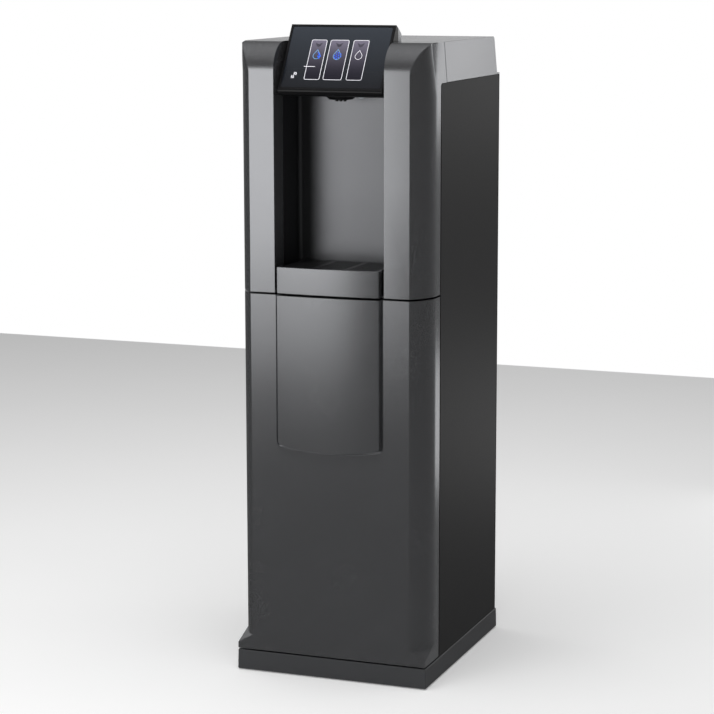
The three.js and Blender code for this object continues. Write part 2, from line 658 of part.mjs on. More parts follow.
function condenser() {
  const left = FAN.x - FAN.half;
  const right = FAN.x + FAN.half;
  const low = FAN.z - FAN.half;
  const high = FAN.z + FAN.half;
  const rows = [-50, 0, 50].map((rise) => FAN.z + rise);
  const fins = [];
  for (let i = 0; i <= 8; i += 1) {
    const x = left + i * ((right - left) / 8);
    fins.push(box(x - 1, x + 1, 342, 372, low, high));
  }
  const tubes = rows.map((z) => box(left - 4, right + 4, 352, 361, z - 4.5, z + 4.5));
  return join(fins[0], ...fins.slice(1), ...tubes);
}

function fanShroud() {
  const { x, z, front: y0, back: y1, half, hole, hub } = FAN;
  const frame = cut(box(x - half, x + half, y0, y1, z - half, z + half), bar(hole, x, z, y0 - 1, y1 + 1, 36));
  const strut = (turn) => {
    const arm = new THREE.BoxGeometry(hole + 4, 3, 8).translate((hole + 4) / 2, 0, 0).rotateY(turn);
    return solidOf(arm.translate(x, y1 - 1.5, z));
  };
  const struts = [0, 1, 2].map((i) => strut(Math.PI / 2 + (i * 2 * Math.PI) / 3));
  return join(frame, ...struts, bar(hub, x, z, y1 - 3, y1, 24));
}

function fanRotor() {
  const { x, z, front: y0, back: y1, blade, hub, blades: count } = FAN;
  const rotorBack = y1 - 3.6;
  const middle = (y0 + rotorBack) / 2;
  const blades = [];
  const pitch = 0.32;
  for (let i = 0; i < count; i += 1) {
    const vane = new THREE.BoxGeometry(blade - hub + 3, 1.6, 30)
      .rotateX(pitch)
      .translate((blade + hub - 3) / 2 - 1, 0, 0)
      .rotateY((i * 2 * Math.PI) / count);
    blades.push(solidOf(vane.translate(x, middle, z)));
  }
  const core = turnedAlongY([
    [0, y0 + 1], [hub - 2, y0 + 1], [hub, y0 + 3], [hub, rotorBack], [0, rotorBack],
  ], x, z, 24);
  return join(core, ...blades);
}

function wasteTank() {
  const { left, right, front: y0, back: y1, bottom, top, wall } = WASTE;
  const chamfer = 10;
  const ring = (inset) => [
    [left + chamfer, y0 + inset], [right - chamfer, y0 + inset], [right - inset, y0 + chamfer],
    [right - inset, y1 - chamfer], [right - chamfer, y1 - inset], [left + chamfer, y1 - inset],
    [left + inset, y1 - chamfer], [left + inset, y0 + chamfer],
  ];
  const tank = cut(plan(ring(0), bottom, top), plan(ring(wall), bottom + wall, top + 1));
  const guideBar = box(FLOAT.x - 8, FLOAT.x + 8, y0 + 1, y1 - 1, top - 4, top);
  return cut(join(tank, guideBar), post(3, FLOAT.x, FLOAT.y, top - 6, top + 2, 12));
}

const wasteFloat = () => turned([
  [0, FLOAT.bottom], [FLOAT.radius - 2, FLOAT.bottom], [FLOAT.radius, FLOAT.bottom + 2],
  [FLOAT.radius, FLOAT.top], [2.5, FLOAT.top], [2.5, WASTE.top + GAP], [6, WASTE.top + GAP],
  [6, WASTE.top + 4], [0, WASTE.top + 4],
], FLOAT.x, FLOAT.y, 20);

function filterHead() {
  const { x, y, top, neck } = FILTER;
  const block = box(x - 32, x + 32, y - 32, y + 32, top + GAP, top + 34);
  const bracket = box(-HALF + SHEET + GAP, x - 30, y - 20, y + 20, top + 22, top + 34);
  const socket = post(neck + GAP, x, y, top - 1, top + 16, 20);
  return cut(join(block, bracket), socket);
}

const filterCartridge = () => {
  const { x, y, radius, bottom, top, neck } = FILTER;
  return turned([
    [0, bottom], [radius - 8, bottom], [radius, bottom + 8], [radius, top - 14], [radius - 10, top],
    [neck, top], [neck, top + 14], [0, top + 14],
  ], x, y, 24);
};

function gasCylinder() {
  const { x, y, radius, bottom, shoulder, neck } = CYLINDER;
  return turned([
    [0, bottom], [radius - 6, bottom], [radius, bottom + 6], [radius, shoulder], [radius - 6, shoulder + 14],
    [22, shoulder + 26], [14, shoulder + 30], [14, neck], [0, neck],
  ], x, y, 24);
}

function cylinderStrap() {
  const { x, y, radius } = CYLINDER;
  const ring = cut(post(radius + 3.4, x, y, 262, 286, 32), post(radius + 0.4, x, y, 260, 288, 32));
  const tab = box(x + radius + 1, HALF - SHEET - GAP, y - 14, y + 14, 262, 286);
  return join(ring, tab);
}

function gasValve() {
  const { x, y, neck } = CYLINDER;
  const low = neck + GAP;
  const high = low + VALVE.height;
  const body = turned([[0, low], [14, low], [14, low + 16], [11, low + 18], [11, high], [0, high]], x, y, 20);
  const outlet = turnedAlongX([[0, x - VALVE.reach], [7, x - VALVE.reach], [7, x], [0, x]], y, OUTLET_Z, 16);
  return join(body, outlet);
}

function handwheel() {
  const { x, y, neck } = CYLINDER;
  const low = neck + VALVE.height + 1;
  const rim = cut(post(20, x, y, low + 4, low + 14, 24), post(15, x, y, low + 3, low + 15, 24));
  const acrossSpoke = box(x - 17, x + 17, y - 3, y + 3, low + 5, low + 13);
  const rearSpoke = box(x - 3, x + 3, y - 17, y + 17, low + 5, low + 13);
  return join(rim, acrossSpoke, rearSpoke, post(6, x, y, low, low + 14, 16));
}

function regulatorBody() {
  const { y } = CYLINDER;
  const right = REGULATOR.right;
  const left = right - REGULATOR.length;
  const body = turnedAlongX([
    [0, left], [17, left], [17, right - 10], [10, right - 4], [10, right], [0, right],
  ], y, OUTLET_Z, 24);
  const gaugeStem = bar(5, REGULATOR.middle, OUTLET_Z, y - REGULATOR.stem, y - 10, 12);
  const outlet = post(5, REGULATOR.middle, y, OUTLET_Z + 10, OUTLET_Z + 26, 12);
  return join(body, gaugeStem, outlet);
}

function regulatorKnob() {
  const right = REGULATOR.right - REGULATOR.length - GAP;
  const left = right - 24;
  return turnedAlongX([
    [0, left], [11, left], [13, left + 2], [13, right - 3], [11, right - 1], [5, right - 1],
    [5, right], [0, right],
  ], CYLINDER.y, OUTLET_Z, 12);
}

function pressureGauge() {
  const back = CYLINDER.y - REGULATOR.stem - GAP;
  return turnedAlongY([
    [0, back - 14], [20, back - 14], [20, back - 2], [17, back], [0, back],
  ], REGULATOR.middle, OUTLET_Z, 24);
}

// ---------------------------------------------------------------- rear services and lines
function inletFitting() {
  const profile = [
    [0, 366], [6, 366], [6, 378], [15, 378], [15, REAR.front - GAP], [10.5, REAR.front - GAP], [10.5, 395.6],
    [7, 395.6], [7, 380], [0, 380],
  ];
  return turnedAlongY(profile, INLET.x, INLET.z, 24);
}

// One moulding holds the mains socket and, above it, the switch's well.
function mainsInlet() {
  const { x, z, halfWidth, front: y0, face } = MAINS;
  const flange = box(x - halfWidth, x + halfWidth, REAR.back + GAP, face, z - 16, SWITCH.z + 18);
  const body = box(x - 20, x + 20, y0, face, z - 11, z + 11);
  const socket = box(x - 12, x + 12, face - 17, face + 1, z - 8, z + 8);
  const pins = [[-7, -2], [0, 2], [7, -2]].map(([dx, dz]) => (
    box(x + dx - 1, x + dx + 1, face - 18, face - 6.5, z + dz - 2, z + dz + 2)
  ));
  const switchBody = box(x - 10, x + 10, SWITCH.front, face, SWITCH.z - 14, SWITCH.z + 14);
  const well = box(x - 7, x + 7, SWITCH.front + 6, face + 1, SWITCH.z - 11.5, SWITCH.z + 11.5);
  return join(cut(join(flange, body, switchBody), socket, well), ...pins);
}

// The rocker's two faces meet in a shallow V. At rest it is tipped so that the lower one lies flush.
function rocker() {
  const { x, z, pivotY, tip } = SWITCH;
  const outline = [[-5, -3], [3, -9.8], [7.2, -9.8], [5.8, 0], [7.2, 9.8], [3, 9.8], [-5, 3]];
  const cosTip = Math.cos(tip);
  const sinTip = Math.sin(tip);
  const tipped = outline.map(([a, b]) => [pivotY + a * cosTip + b * sinTip, z - a * sinTip + b * cosTip]);
  return side(tipped, x - 6.6, x + 6.6);
}

const inletLine = () => pipe([
  [INLET.x, 365.4, INLET.z], [INLET.x, 350, INLET.z], [INLET.x, 330, INLET.z + 14], [-128, 300, 340],
  [-122, 250, 470], [-116, 230, 580], [FILTER.x, 205, 604], [FILTER.x, FILTER.y + 32.4, 606],
], 4, 24);

const gasLine = () => pipe([
  [REGULATOR.middle, CYLINDER.y, CYLINDER.neck + 45], [CYLINDER.x - 42, CYLINDER.y, 500],
  [CYLINDER.x - 20, CYLINDER.y + 8, 560], [CARBONATOR.x, CARBONATOR.y - 6, 600],
  [CARBONATOR.x, CARBONATOR.y, 625], [CARBONATOR.x, CARBONATOR.y, CARBONATOR.bottom - GAP],
], 3.5, 20);

const refrigerantLine = () => pipe([
  [66, 275, 200], [62, 270, 225], [20, 262, 330], [-28, 290, 480], [LINE_DOWN.x, LINE_DOWN.y, 600],
  [LINE_DOWN.x, LINE_DOWN.y, COLD.bottom - GAP],
], 3.5, 24);

// The hose starts as a small cup under the tray's drain hole.
function drainHose() {
  const { x, y } = DRAIN;
  const cup = turned([
    [0, 636], [4, 636], [5.6, 644], [5.6, 654.7], [4.6, 654.7], [4.6, 646], [0, 646],
  ], x, y, 16);
  const hose = pipe([
    [x, y, 637], [x, 104, 560], [-6, 128, 460], [-20, 150, 380], [-30, 160, 310], [-30, 160, 285],
  ], 4, 20);
  return join(cup, hose);
}

// ---------------------------------------------------------------- assembly
const cabinet = new THREE.Group();
cabinet.position.y = -CENTRE_Y;

function add(name, solid, finish) {
  const mesh = new THREE.Mesh(geometryOf(solid), new THREE.MeshStandardMaterial(finish));
  mesh.name = name;
  cabinet.add(mesh);
}

add('plinth', plinth(), PLINTH_GREY);
for (const place of footPlaces()) {
  add(place.name, foot(place), RUBBER);
}
add('floor_pan', floorPan(), ZINC);
add('side_panel_left', sidePanel(-1), PANEL_DARK);
add('side_panel_right', sidePanel(1), PANEL_DARK);
add('rear_panel', rearPanel(), PANEL_DARK);
add('top_cover', topCover(), ANTHRACITE);
add('front_fascia', frontFascia(), ANTHRACITE);
add('alcove_liner', alcoveLiner(), ALCOVE_GREY);

add('head_bezel', headBezel(), BLACK);
add('touch_glass', touchGlass(), GLASS_BLACK);
add('display_board', displayBoard(), BOARD_GREEN);
add('head_rear_cover', headRearCover(), BLACK);
add('head_base', headBase(), BLACK);
add('nozzle', nozzle(), BLACK);
add('nozzle_light_lens', lightLens(), CLEAR);

add('drip_tray_front', trayFront(), ANTHRACITE);
add('drip_tray_basin', trayBasin(), BLACK);
add('drip_grille', dripGrille(), BLACK);

add('door_shell', doorShell(), ANTHRACITE);
add('apron_panel', apronPanel(), ANTHRACITE);
add('door_liner', doorLiner(), WHITE_PLASTIC);
add('strike_plate', strikePlate(), ZINC);
add('magnet_catch', magnetCatch(), BLACK);
add('door_frame', doorFrame(), ZINC);
add('hinge_bracket_top', hingeBracket(651.8, 654.4, 643, 653), ZINC);
add('hinge_bracket_bottom', hingeBracket(36.3, 38.1, 37, 46), ZINC);

add('mid_shelf', midShelf(), ZINC);
add('cold_tank', coldTank(), FOAM);
add('cold_tank_lid', coldTankLid(), FOAM);
add('carbonator', carbonator(), STEEL);
add('valve_block', valveBlock(), WHITE_PLASTIC);
add('water_pump', waterPump(), ZINC);
add('control_box', controlBox(), WHITE_PLASTIC);
add('dispense_line', dispenseLine(), MILKY);

add('compressor', compressor(), BLACK);
add('condenser', condenser(), ALUMINIUM);
add('fan_shroud', fanShroud(), BLACK);
add('fan_rotor', fanRotor(), BLACK);
add('waste_tank', wasteTank(), MILKY);
add('waste_float', wasteFloat(), BLUE);
add('filter_head', filterHead(), BLUE);
add('filter_cartridge', filterCartridge(), WHITE_PLASTIC);
add('gas_cylinder', gasCylinder(), CYLINDER_GREY);
add('cylinder_strap', cylinderStrap(), RUBBER);
add('gas_valve', gasValve(), BRASS);
add('gas_handwheel', handwheel(), BLACK);
add('regulator_body', regulatorBody(), BRASS);
add('regulator_knob', regulatorKnob(), BLACK);
add('pressure_gauge', pressureGauge(), STEEL);

add('inlet_fitting', inletFitting(), BRASS);
add('mains_inlet', mainsInlet(), BLACK);
add('rocker_switch', rocker(), BLACK);
add('inlet_line', inletLine(), BLUE);
add('gas_line', gasLine(), RUBBER);
add('refrigerant_line', refrigerantLine(), COPPER);
add('drain_hose', drainHose(), MILKY);

const dispenser = new THREE.Group();
dispenser.add(cabinet);

export default dispenser;
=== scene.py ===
"""A floor-standing water dispenser: satin moulded fronts, dark sheet sides, a glass touch head.

Pieces are drawn in millimetres, with y = 0 on the cabinet's front plane, and are put into the frame
in metres.
"""
import json
import math

import bmesh
import bpy
from mathutils import Matrix, Vector


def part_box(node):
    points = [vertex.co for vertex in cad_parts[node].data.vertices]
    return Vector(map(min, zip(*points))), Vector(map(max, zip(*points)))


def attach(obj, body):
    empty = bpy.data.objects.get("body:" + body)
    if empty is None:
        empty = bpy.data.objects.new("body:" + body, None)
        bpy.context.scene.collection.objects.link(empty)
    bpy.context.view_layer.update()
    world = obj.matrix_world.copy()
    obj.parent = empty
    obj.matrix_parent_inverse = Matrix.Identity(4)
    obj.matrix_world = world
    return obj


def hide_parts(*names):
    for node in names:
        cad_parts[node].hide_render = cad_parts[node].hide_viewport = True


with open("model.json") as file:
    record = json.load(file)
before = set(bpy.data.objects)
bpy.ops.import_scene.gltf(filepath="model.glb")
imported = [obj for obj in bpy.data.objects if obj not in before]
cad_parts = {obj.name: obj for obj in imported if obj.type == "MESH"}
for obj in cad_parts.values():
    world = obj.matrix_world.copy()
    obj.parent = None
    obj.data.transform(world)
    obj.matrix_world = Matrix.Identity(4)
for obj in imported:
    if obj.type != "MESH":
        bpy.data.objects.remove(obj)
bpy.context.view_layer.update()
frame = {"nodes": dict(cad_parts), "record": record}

MM = 0.001
FRONT_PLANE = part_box("plinth")[0].y
TO_FRAME = Matrix.Translation((0, FRONT_PLANE, 0)) @ Matrix.Scale(MM, 4)
TO_DRAWING = TO_FRAME.inverted()

BODY_OF = {node: body for body, members in frame["record"]["behaviour"]["bodies"].items()
           for node in members}
SLOT_OF = {part["node"]: part["material_slot"] for part in frame["record"]["subparts"]}


class Extent:
    """A CAD node's box in millimetres: x0 to x1 across, y0 to y1 back from the front plane, z0 to z1 up."""

    def __init__(self, node):
        low, high = (TO_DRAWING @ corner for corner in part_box(node))
        self.x0, self.y0, self.z0 = low
        self.x1, self.y1, self.z1 = high
        self.x, self.y, self.z = (low + high) / 2
        self.width, self.depth, self.height = high - low


# ---------------------------------------------------------------- camera, lights and floor
def aim(thing, place, target, roll=0.0):
    """Turns a camera or lamp at place so that it looks at target."""
    toward = (Vector(target) - Vector(place)).to_track_quat("-Z", "Y")
    thing.matrix_world = Matrix.Translation(place) @ toward.to_matrix().to_4x4() @ Matrix.Rotation(roll, 4,
                                                                                                   "Z")


def make_camera():
    """A long lens at chest height, a little to the right of the front."""
    lens = bpy.data.cameras.new("camera")
    lens.lens = 116.07
    lens.sensor_width = 36.0
    lens.clip_start = 0.1
    lens.clip_end = 50.0
    camera = bpy.data.objects.new("camera", lens)
    bpy.context.scene.collection.objects.link(camera)
    azimuth, elevation = math.radians(20.69), math.radians(9.91)
    heading = Vector((
        -math.sin(azimuth) * math.cos(elevation), math.cos(azimuth) * math.cos(elevation),
        -math.sin(elevation),
    ))
    place = Vector((1.3621, -3.669, 1.2049))
    aim(camera, place, place + heading, math.radians(-0.10))
    bpy.context.scene.camera = camera


def softbox(name, place, target, width, height, power, colour=(1.0, 1.0, 1.0)):
    """An area light that throws light and shows in the gloss, but not to the camera."""
    lamp = bpy.data.lights.new(name, "AREA")
    lamp.shape = "RECTANGLE"
    lamp.size = width
    lamp.size_y = height
    lamp.energy = power
    lamp.color = colour
    panel = bpy.data.objects.new(name, lamp)
    bpy.context.scene.collection.objects.link(panel)
    aim(panel, place, target)
    panel.visible_camera = False
    return panel


make_camera()
# A near card at the front left gives the fronts their bright left side, and one at the rear right lights the
# sides. The broad lamp overhead keeps the floor pale.
softbox("front_left_card", (-0.66, -1.42, 0.88), (-0.10, -0.19, 0.88), 0.68, 0.72, 2.08)
softbox("front_left_lower_card", (-0.66, -1.42, 0.41), (-0.10, -0.19, 0.41), 0.68, 0.20, 0.30)
softbox("rear_right_card", (0.74, 1.30, 0.98), (0.17, 0.0, 1.00), 0.5, 0.34, 0.42)
softbox("low_rear_card", (0.70, 1.30, 0.14), (0.17, 0.0, 0.26), 0.6, 0.30, 0.44)
overhead = softbox("overhead", (0.0, -0.6, 3.4), (0.0, 0.0, 0.0), 3.2, 3.2, 95.0)
overhead.visible_glossy = False


def make_surroundings():
    """White to the camera, bright low down behind, dim in front, so that the gloss has something to show."""
    world = bpy.data.worlds.new("studio")
    world.use_nodes = True
    bpy.context.scene.world = world
    tree = world.node_tree
    tree.nodes.clear()
    links = tree.links

    def add(kind, **settings):
        made = tree.nodes.new(kind)
        for name, value in settings.items():
            setattr(made, name, value)
        return made

    direction = add("ShaderNodeTexCoord")
    split = add("ShaderNodeSeparateXYZ")
    links.new(direction.outputs["Generated"], split.inputs[0])

    def ramp(axis, start, end, low, high):
        scaled = add("ShaderNodeMapRange")
        for name, value in (("From Min", start), ("From Max", end), ("To Min", low), ("To Max", high)):
            scaled.inputs[name].default_value = value
        links.new(split.outputs[axis], scaled.inputs["Value"])
        return scaled.outputs[0]

    def reckoned(operation, first, second):
        made = add("ShaderNodeMath", operation=operation)
        links.new(first, made.inputs[0])
        links.new(second, made.inputs[1])
        return made.outputs[0]

    rear = ramp("Y", 0.45, 0.95, 0.0, 0.75)
    above_floor = ramp("Z", -0.10, 0.12, 0.10, 1.0)
    below_wall_top = ramp("Z", 0.22, 0.36, 1.0, 0.0)
    left_of_middle = ramp("X", -0.15, 0.15, 1.0, 0.25)
    ceiling = reckoned("MULTIPLY", ramp("Z", 0.45, 0.98, 0.06, 0.27), left_of_middle)
    band = reckoned("MULTIPLY", reckoned("MULTIPLY", rear, above_floor), below_wall_top)
    least = add("ShaderNodeValue")
    least.outputs[0].default_value = 0.048
    dim = reckoned("ADD", band, reckoned("MAXIMUM", reckoned("MULTIPLY", ceiling, above_floor),
                                         least.outputs[0]))
    seen = add("ShaderNodeLightPath")
    strength = add("ShaderNodeMix", data_type="FLOAT")
    links.new(seen.outputs["Is Camera Ray"], strength.inputs["Factor"])
    links.new(dim, strength.inputs[2])
    strength.inputs[3].default_value = 1.0
    background = add("ShaderNodeBackground")
    background.inputs["Color"].default_value = (1.0, 1.0, 1.0, 1.0)
    links.new(strength.outputs[0], background.inputs["Strength"])
    output = add("ShaderNodeOutputWorld")
    links.new(background.outputs[0], output.inputs["Surface"])


make_surroundings()
bpy.context.scene.view_settings.view_transform = "Standard"


# ---------------------------------------------------------------- finishes
class Wire:
    """A value in a finish's node tree. Arithmetic on wires adds the Math nodes that work it out."""

    def __init__(self, finish, socket):
        self.finish = finish
        self.socket = socket

    def reckon(self, operation, *values):
        return self.finish.node("ShaderNodeMath", {"operation": operation}, dict(enumerate(values)))

    def __add__(self, other):
        return self.reckon("ADD", self, other)

    def __radd__(self, other):
        return self.reckon("ADD", other, self)

    def __sub__(self, other):
        return self.reckon("SUBTRACT", self, other)

    def __rsub__(self, other):
        return self.reckon("SUBTRACT", other, self)

    def __mul__(self, other):
        return self.reckon("MULTIPLY", self, other)

    def __rmul__(self, other):
        return self.reckon("MULTIPLY", other, self)

    def __truediv__(self, other):
        return self.reckon("DIVIDE", self, other)

    def __gt__(self, other):
        return self.reckon("GREATER_THAN", self, other)

    def wave(self):
        return self.reckon("SINE", self)

    def size(self):
        return self.reckon("ABSOLUTE", self)

    def limited(self):
        return self.finish.node("ShaderNodeClamp", {}, {"Value": self})


class Finish:
    """A material made of nodes around one Principled shader."""

    def __init__(self, name, **constants):
        self.material = bpy.data.materials.new(name)
        self.material.use_nodes = True
        self.tree = self.material.node_tree
        self.tree.nodes.clear()
        self.shader = self.tree.nodes.new("ShaderNodeBsdfPrincipled")
        output = self.tree.nodes.new("ShaderNodeOutputMaterial")
        self.tree.links.new(self.shader.outputs["BSDF"], output.inputs["Surface"])
        for socket, value in constants.items():
            self.put(socket.replace("_", " "), value)

    def plug(self, socket, value):
        if isinstance(value, Wire):
            self.tree.links.new(value.socket, socket)
        else:
            socket.default_value = value

    def put(self, socket, value):
        self.plug(self.shader.inputs[socket], value)

    def node(self, kind, settings, inputs, output=0):
        made = self.tree.nodes.new(kind)
        for name, value in settings.items():
            if name == "stops":
                ramp = made.color_ramp
                for place, colour in value[2:]:
                    ramp.elements.new(place).color = colour
                for element, (place, colour) in zip(ramp.elements, sorted(value)):
                    element.position = place
                    element.color = colour
            else:
                setattr(made, name, value)
        for key, value in inputs.items():
            self.plug(made.inputs[key], value)
        return Wire(self, made.outputs[output])

    def place(self):
        return self.node("ShaderNodeTexCoord", {}, {}, "Object")

    def axis(self, letter):
        return self.node("ShaderNodeSeparateXYZ", {}, {0: self.place()}, letter)

    def stretched(self, scale):
        return self.node("ShaderNodeMapping", {}, {"Vector": self.place(), "Scale": scale})

    def noise(self, scale, detail=2.0, roughness=0.5, where=None):
        inputs = {"Vector": where or self.place(), "Scale": scale, "Detail": detail, "Roughness": roughness}
        return self.node("ShaderNodeTexNoise", {}, inputs)

    def blend(self, share, first, second):
        """A colour between two colours."""
        inputs = {"Factor": share, 6: first, 7: second}
        return self.node("ShaderNodeMix", {"data_type": "RGBA"}, inputs, 2)

    def relief(self, height, strength, distance, over=None):
        inputs = {"Height": height, "Strength": strength, "Distance": distance}
        if over is not None:
            inputs["Normal"] = over
        bumped = self.node("ShaderNodeBump", {}, inputs)
        self.put("Normal", bumped)
        return bumped


def shade(red, green, blue, factor=1.0):
    """A grey or a colour, scaled."""
    return (red * factor, green * factor, blue * factor, 1.0)


def moulding(name, colour, roughness, grain=0.25, metallic=0.0, mottle=0.06, **constants):
    """Moulded plastic: a fine spark-eroded grain, with a slight unevenness in colour and gloss."""
    finish = Finish(name, Metallic=metallic, **constants)
    cloud = finish.noise(9.0, 3.0)
    grit = finish.noise(1900.0, 2.0, 0.6)
    darker = tuple(c * (1 - mottle) for c in colour) + (1.0,)
    lighter = tuple(c * (1 + mottle) for c in colour) + (1.0,)
    finish.put("Base Color", finish.blend(0.6 * cloud + 0.4 * grit, darker, lighter))
    finish.put("Roughness", roughness + 0.06 * (cloud - 0.5) + 0.10 * (grit - 0.5))
    finish.relief(grit, grain, 0.00012)
    return finish.material


def powder_coat(name, colour, roughness, texture=0.35):
    """Powder coat on sheet steel: a soft orange-peel over a fine speckle."""
    finish = Finish(name, Metallic=0.1)
    peel = finish.noise(420.0, 1.0)
    speck = finish.noise(2600.0, 1.0)
    darker = tuple(c * 0.93 for c in colour) + (1.0,)
    lighter = tuple(c * 1.08 for c in colour) + (1.0,)
    finish.put("Base Color", finish.blend(speck, darker, lighter))
    finish.put("Roughness", roughness + 0.08 * (peel - 0.5))
    finish.relief(0.8 * peel + 0.2 * speck, texture, 0.0001)
    return finish.material


def brushed(name, colour, roughness, along="Z", strength=0.3, metallic=1.0):
    """Brushed or drawn metal: fine scratches that run along one axis."""
    finish = Finish(name, Metallic=metallic)
    scale = tuple(14.0 if letter == along else 900.0 for letter in "XYZ")
    scratch = finish.noise(1.0, 3.0, 0.6, finish.stretched(scale))
    cloud = finish.noise(16.0, 2.0)
    darker = tuple(c * 0.88 for c in colour) + (1.0,)
    lighter = tuple(min(c * 1.08, 1.0) for c in colour) + (1.0,)
    finish.put("Base Color", finish.blend(0.5 * scratch + 0.5 * cloud, darker, lighter))
    finish.put("Roughness", roughness + 0.22 * (scratch - 0.5) + 0.08 * (cloud - 0.5))
    finish.relief(scratch, strength, 0.00008)
    return finish.material


def galvanised(name, colour):
    """Zinc plate: large soft crystals in grey."""
    finish = Finish(name, Metallic=0.9)
    crystal = finish.node("ShaderNodeTexVoronoi", {}, {"Vector": finish.place(), "Scale": 140.0}, "Color")
    tone = finish.node("ShaderNodeSeparateColor", {}, {0: crystal}, 0)
    fine = finish.noise(700.0, 2.0)
    darker = tuple(c * 0.82 for c in colour) + (1.0,)
    lighter = tuple(c * 1.08 for c in colour) + (1.0,)
    finish.put("Base Color", finish.blend(0.7 * tone + 0.3 * fine, darker, lighter))
    finish.put("Roughness", 0.34 + 0.16 * tone)
    finish.relief(fine, 0.15, 0.0001)
    return finish.material


def screen_glass():
    """Black back-printed glass with faint wiping marks in the gloss. Its colour carries a painted
    reflection, lighter towards the top of the glass.
    """
    finish = Finish("screen_glass", Metallic=0.0, Coat_Roughness=0.03, IOR=1.52)
    smear = finish.noise(22.0, 3.0, 0.6, finish.stretched((1.0, 2.4, 1.0)))
    # painted reflection: the base colour goes from near black at the lower edge to dark blue-grey at the top
    rise = (finish.axis("Z") - 0.99) / 0.1
    low, high = shade(0.010, 0.011, 0.015), shade(0.040, 0.048, 0.062)
    finish.put("Base Color", finish.blend(rise.limited(), low, high))
    finish.put("Roughness", 0.10 + 0.10 * smear)
    finish.put("Coat Weight", 0.35 + 0.3 * smear)
    finish.relief(smear, 0.04, 0.0001)
    return finish.material


def key_face():
    """The back-lit fill of a touch key. Its colour and glow grow brighter towards its upper end as a painted
    reflection.
    """
    finish = Finish("key_face", Roughness=0.2)
    # painted reflection: near black at the foot of the key to pale violet at its top, glowing in the same
    # colour
    rise = ((finish.axis("Z") - 1.005) / 0.065).limited()
    cells = finish.noise(500.0, 1.0)
    colour = finish.blend(rise * rise, shade(0.012, 0.011, 0.018), shade(0.17, 0.155, 0.21))
    finish.put("Base Color", colour)
    finish.put("Emission Color", colour)
    finish.put("Emission Strength", 0.35)
    finish.put("Roughness", 0.18 + 0.06 * cells)
    return finish.material


def print_ink(name, colour, glow=0.5):
    """Ink on the glass, lit a little from behind."""
    finish = Finish(name, Roughness=0.3)
    dots = finish.noise(1500.0, 1.0)
    tone = finish.blend(dots, tuple(c * 0.9 for c in colour) + (1.0,), tuple(colour) + (1.0,))
    finish.put("Base Color", tone)
    finish.put("Emission Color", tone)
    finish.put("Emission Strength", glow)
    return finish.material


def circuit_board():
    """Green solder mask over copper tracks."""
    finish = Finish("circuit_board", Metallic=0.0)
    tracks = finish.node("ShaderNodeTexBrick", {"offset": 0.5}, {
        "Vector": finish.place(), "Color1": shade(0.02, 0.15, 0.07), "Color2": shade(0.02, 0.19, 0.09),
        "Mortar": shade(0.06, 0.30, 0.14), "Scale": 90.0, "Mortar Size": 0.03,
    })
    finish.put("Base Color", tracks)
    finish.put("Roughness", 0.30 + 0.2 * finish.noise(300.0))
    finish.relief(finish.noise(900.0), 0.2, 0.0001)
    return finish.material


def translucent(name, colour, roughness, alpha):
    """Milky or clear plastic that lets some light through."""
    finish = Finish(name, Metallic=0.0, IOR=1.49)
    cloud = finish.noise(30.0, 2.0)
    ripple = finish.noise(260.0, 2.0)
    darker = tuple(c * 0.93 for c in colour) + (1.0,)
    finish.put("Base Color", finish.blend(cloud, darker, tuple(colour) + (1.0,)))
    finish.put("Roughness", roughness + 0.08 * (cloud - 0.5))
    finish.put("Alpha", alpha + 0.05 * (cloud - 0.5))
    finish.relief(ripple, 0.08, 0.0003)
    return finish.material


def foam_skin():
    """Moulded insulation foam: pitted skin."""
    finish = Finish("foam", Metallic=0.0)
    cells = finish.node("ShaderNodeTexVoronoi", {}, {"Vector": finish.place(), "Scale": 420.0}, "Distance")
    cloud = finish.noise(25.0, 3.0)
    finish.put("Base Color", finish.blend(cloud, shade(0.012, 0.013, 0.016), shade(0.032, 0.034, 0.040)))
    finish.put("Roughness", 0.78 + 0.15 * cloud)
    finish.relief(cells, 0.6, 0.0006)
    return finish.material


def rubber_compound():
    """Dull black rubber with a fine bloom."""
    finish = Finish("rubber", Metallic=0.0)
    dust = finish.noise(60.0, 4.0)
    pits = finish.noise(1300.0, 2.0)
    finish.put("Base Color", finish.blend(dust, shade(0.010, 0.010, 0.010), shade(0.030, 0.030, 0.031)))
    finish.put("Roughness", 0.62 + 0.22 * dust)
    finish.relief(pits, 0.35, 0.0002)
    return finish.material


def enamel(name, colour, roughness):
    """Sprayed enamel on a pressing: glossy, with a fine orange-peel."""
    finish = Finish(name, Metallic=0.0, Coat_Roughness=0.12)
    peel = finish.noise(300.0, 1.0)
    cloud = finish.noise(12.0, 3.0)
    darker = tuple(c * 0.85 for c in colour) + (1.0,)
    finish.put("Base Color", finish.blend(cloud, darker, tuple(colour) + (1.0,)))
    finish.put("Roughness", roughness + 0.1 * (cloud - 0.5))
    finish.put("Coat Weight", 0.25 + 0.2 * peel)
    finish.relief(peel, 0.2, 0.0002)
    return finish.material


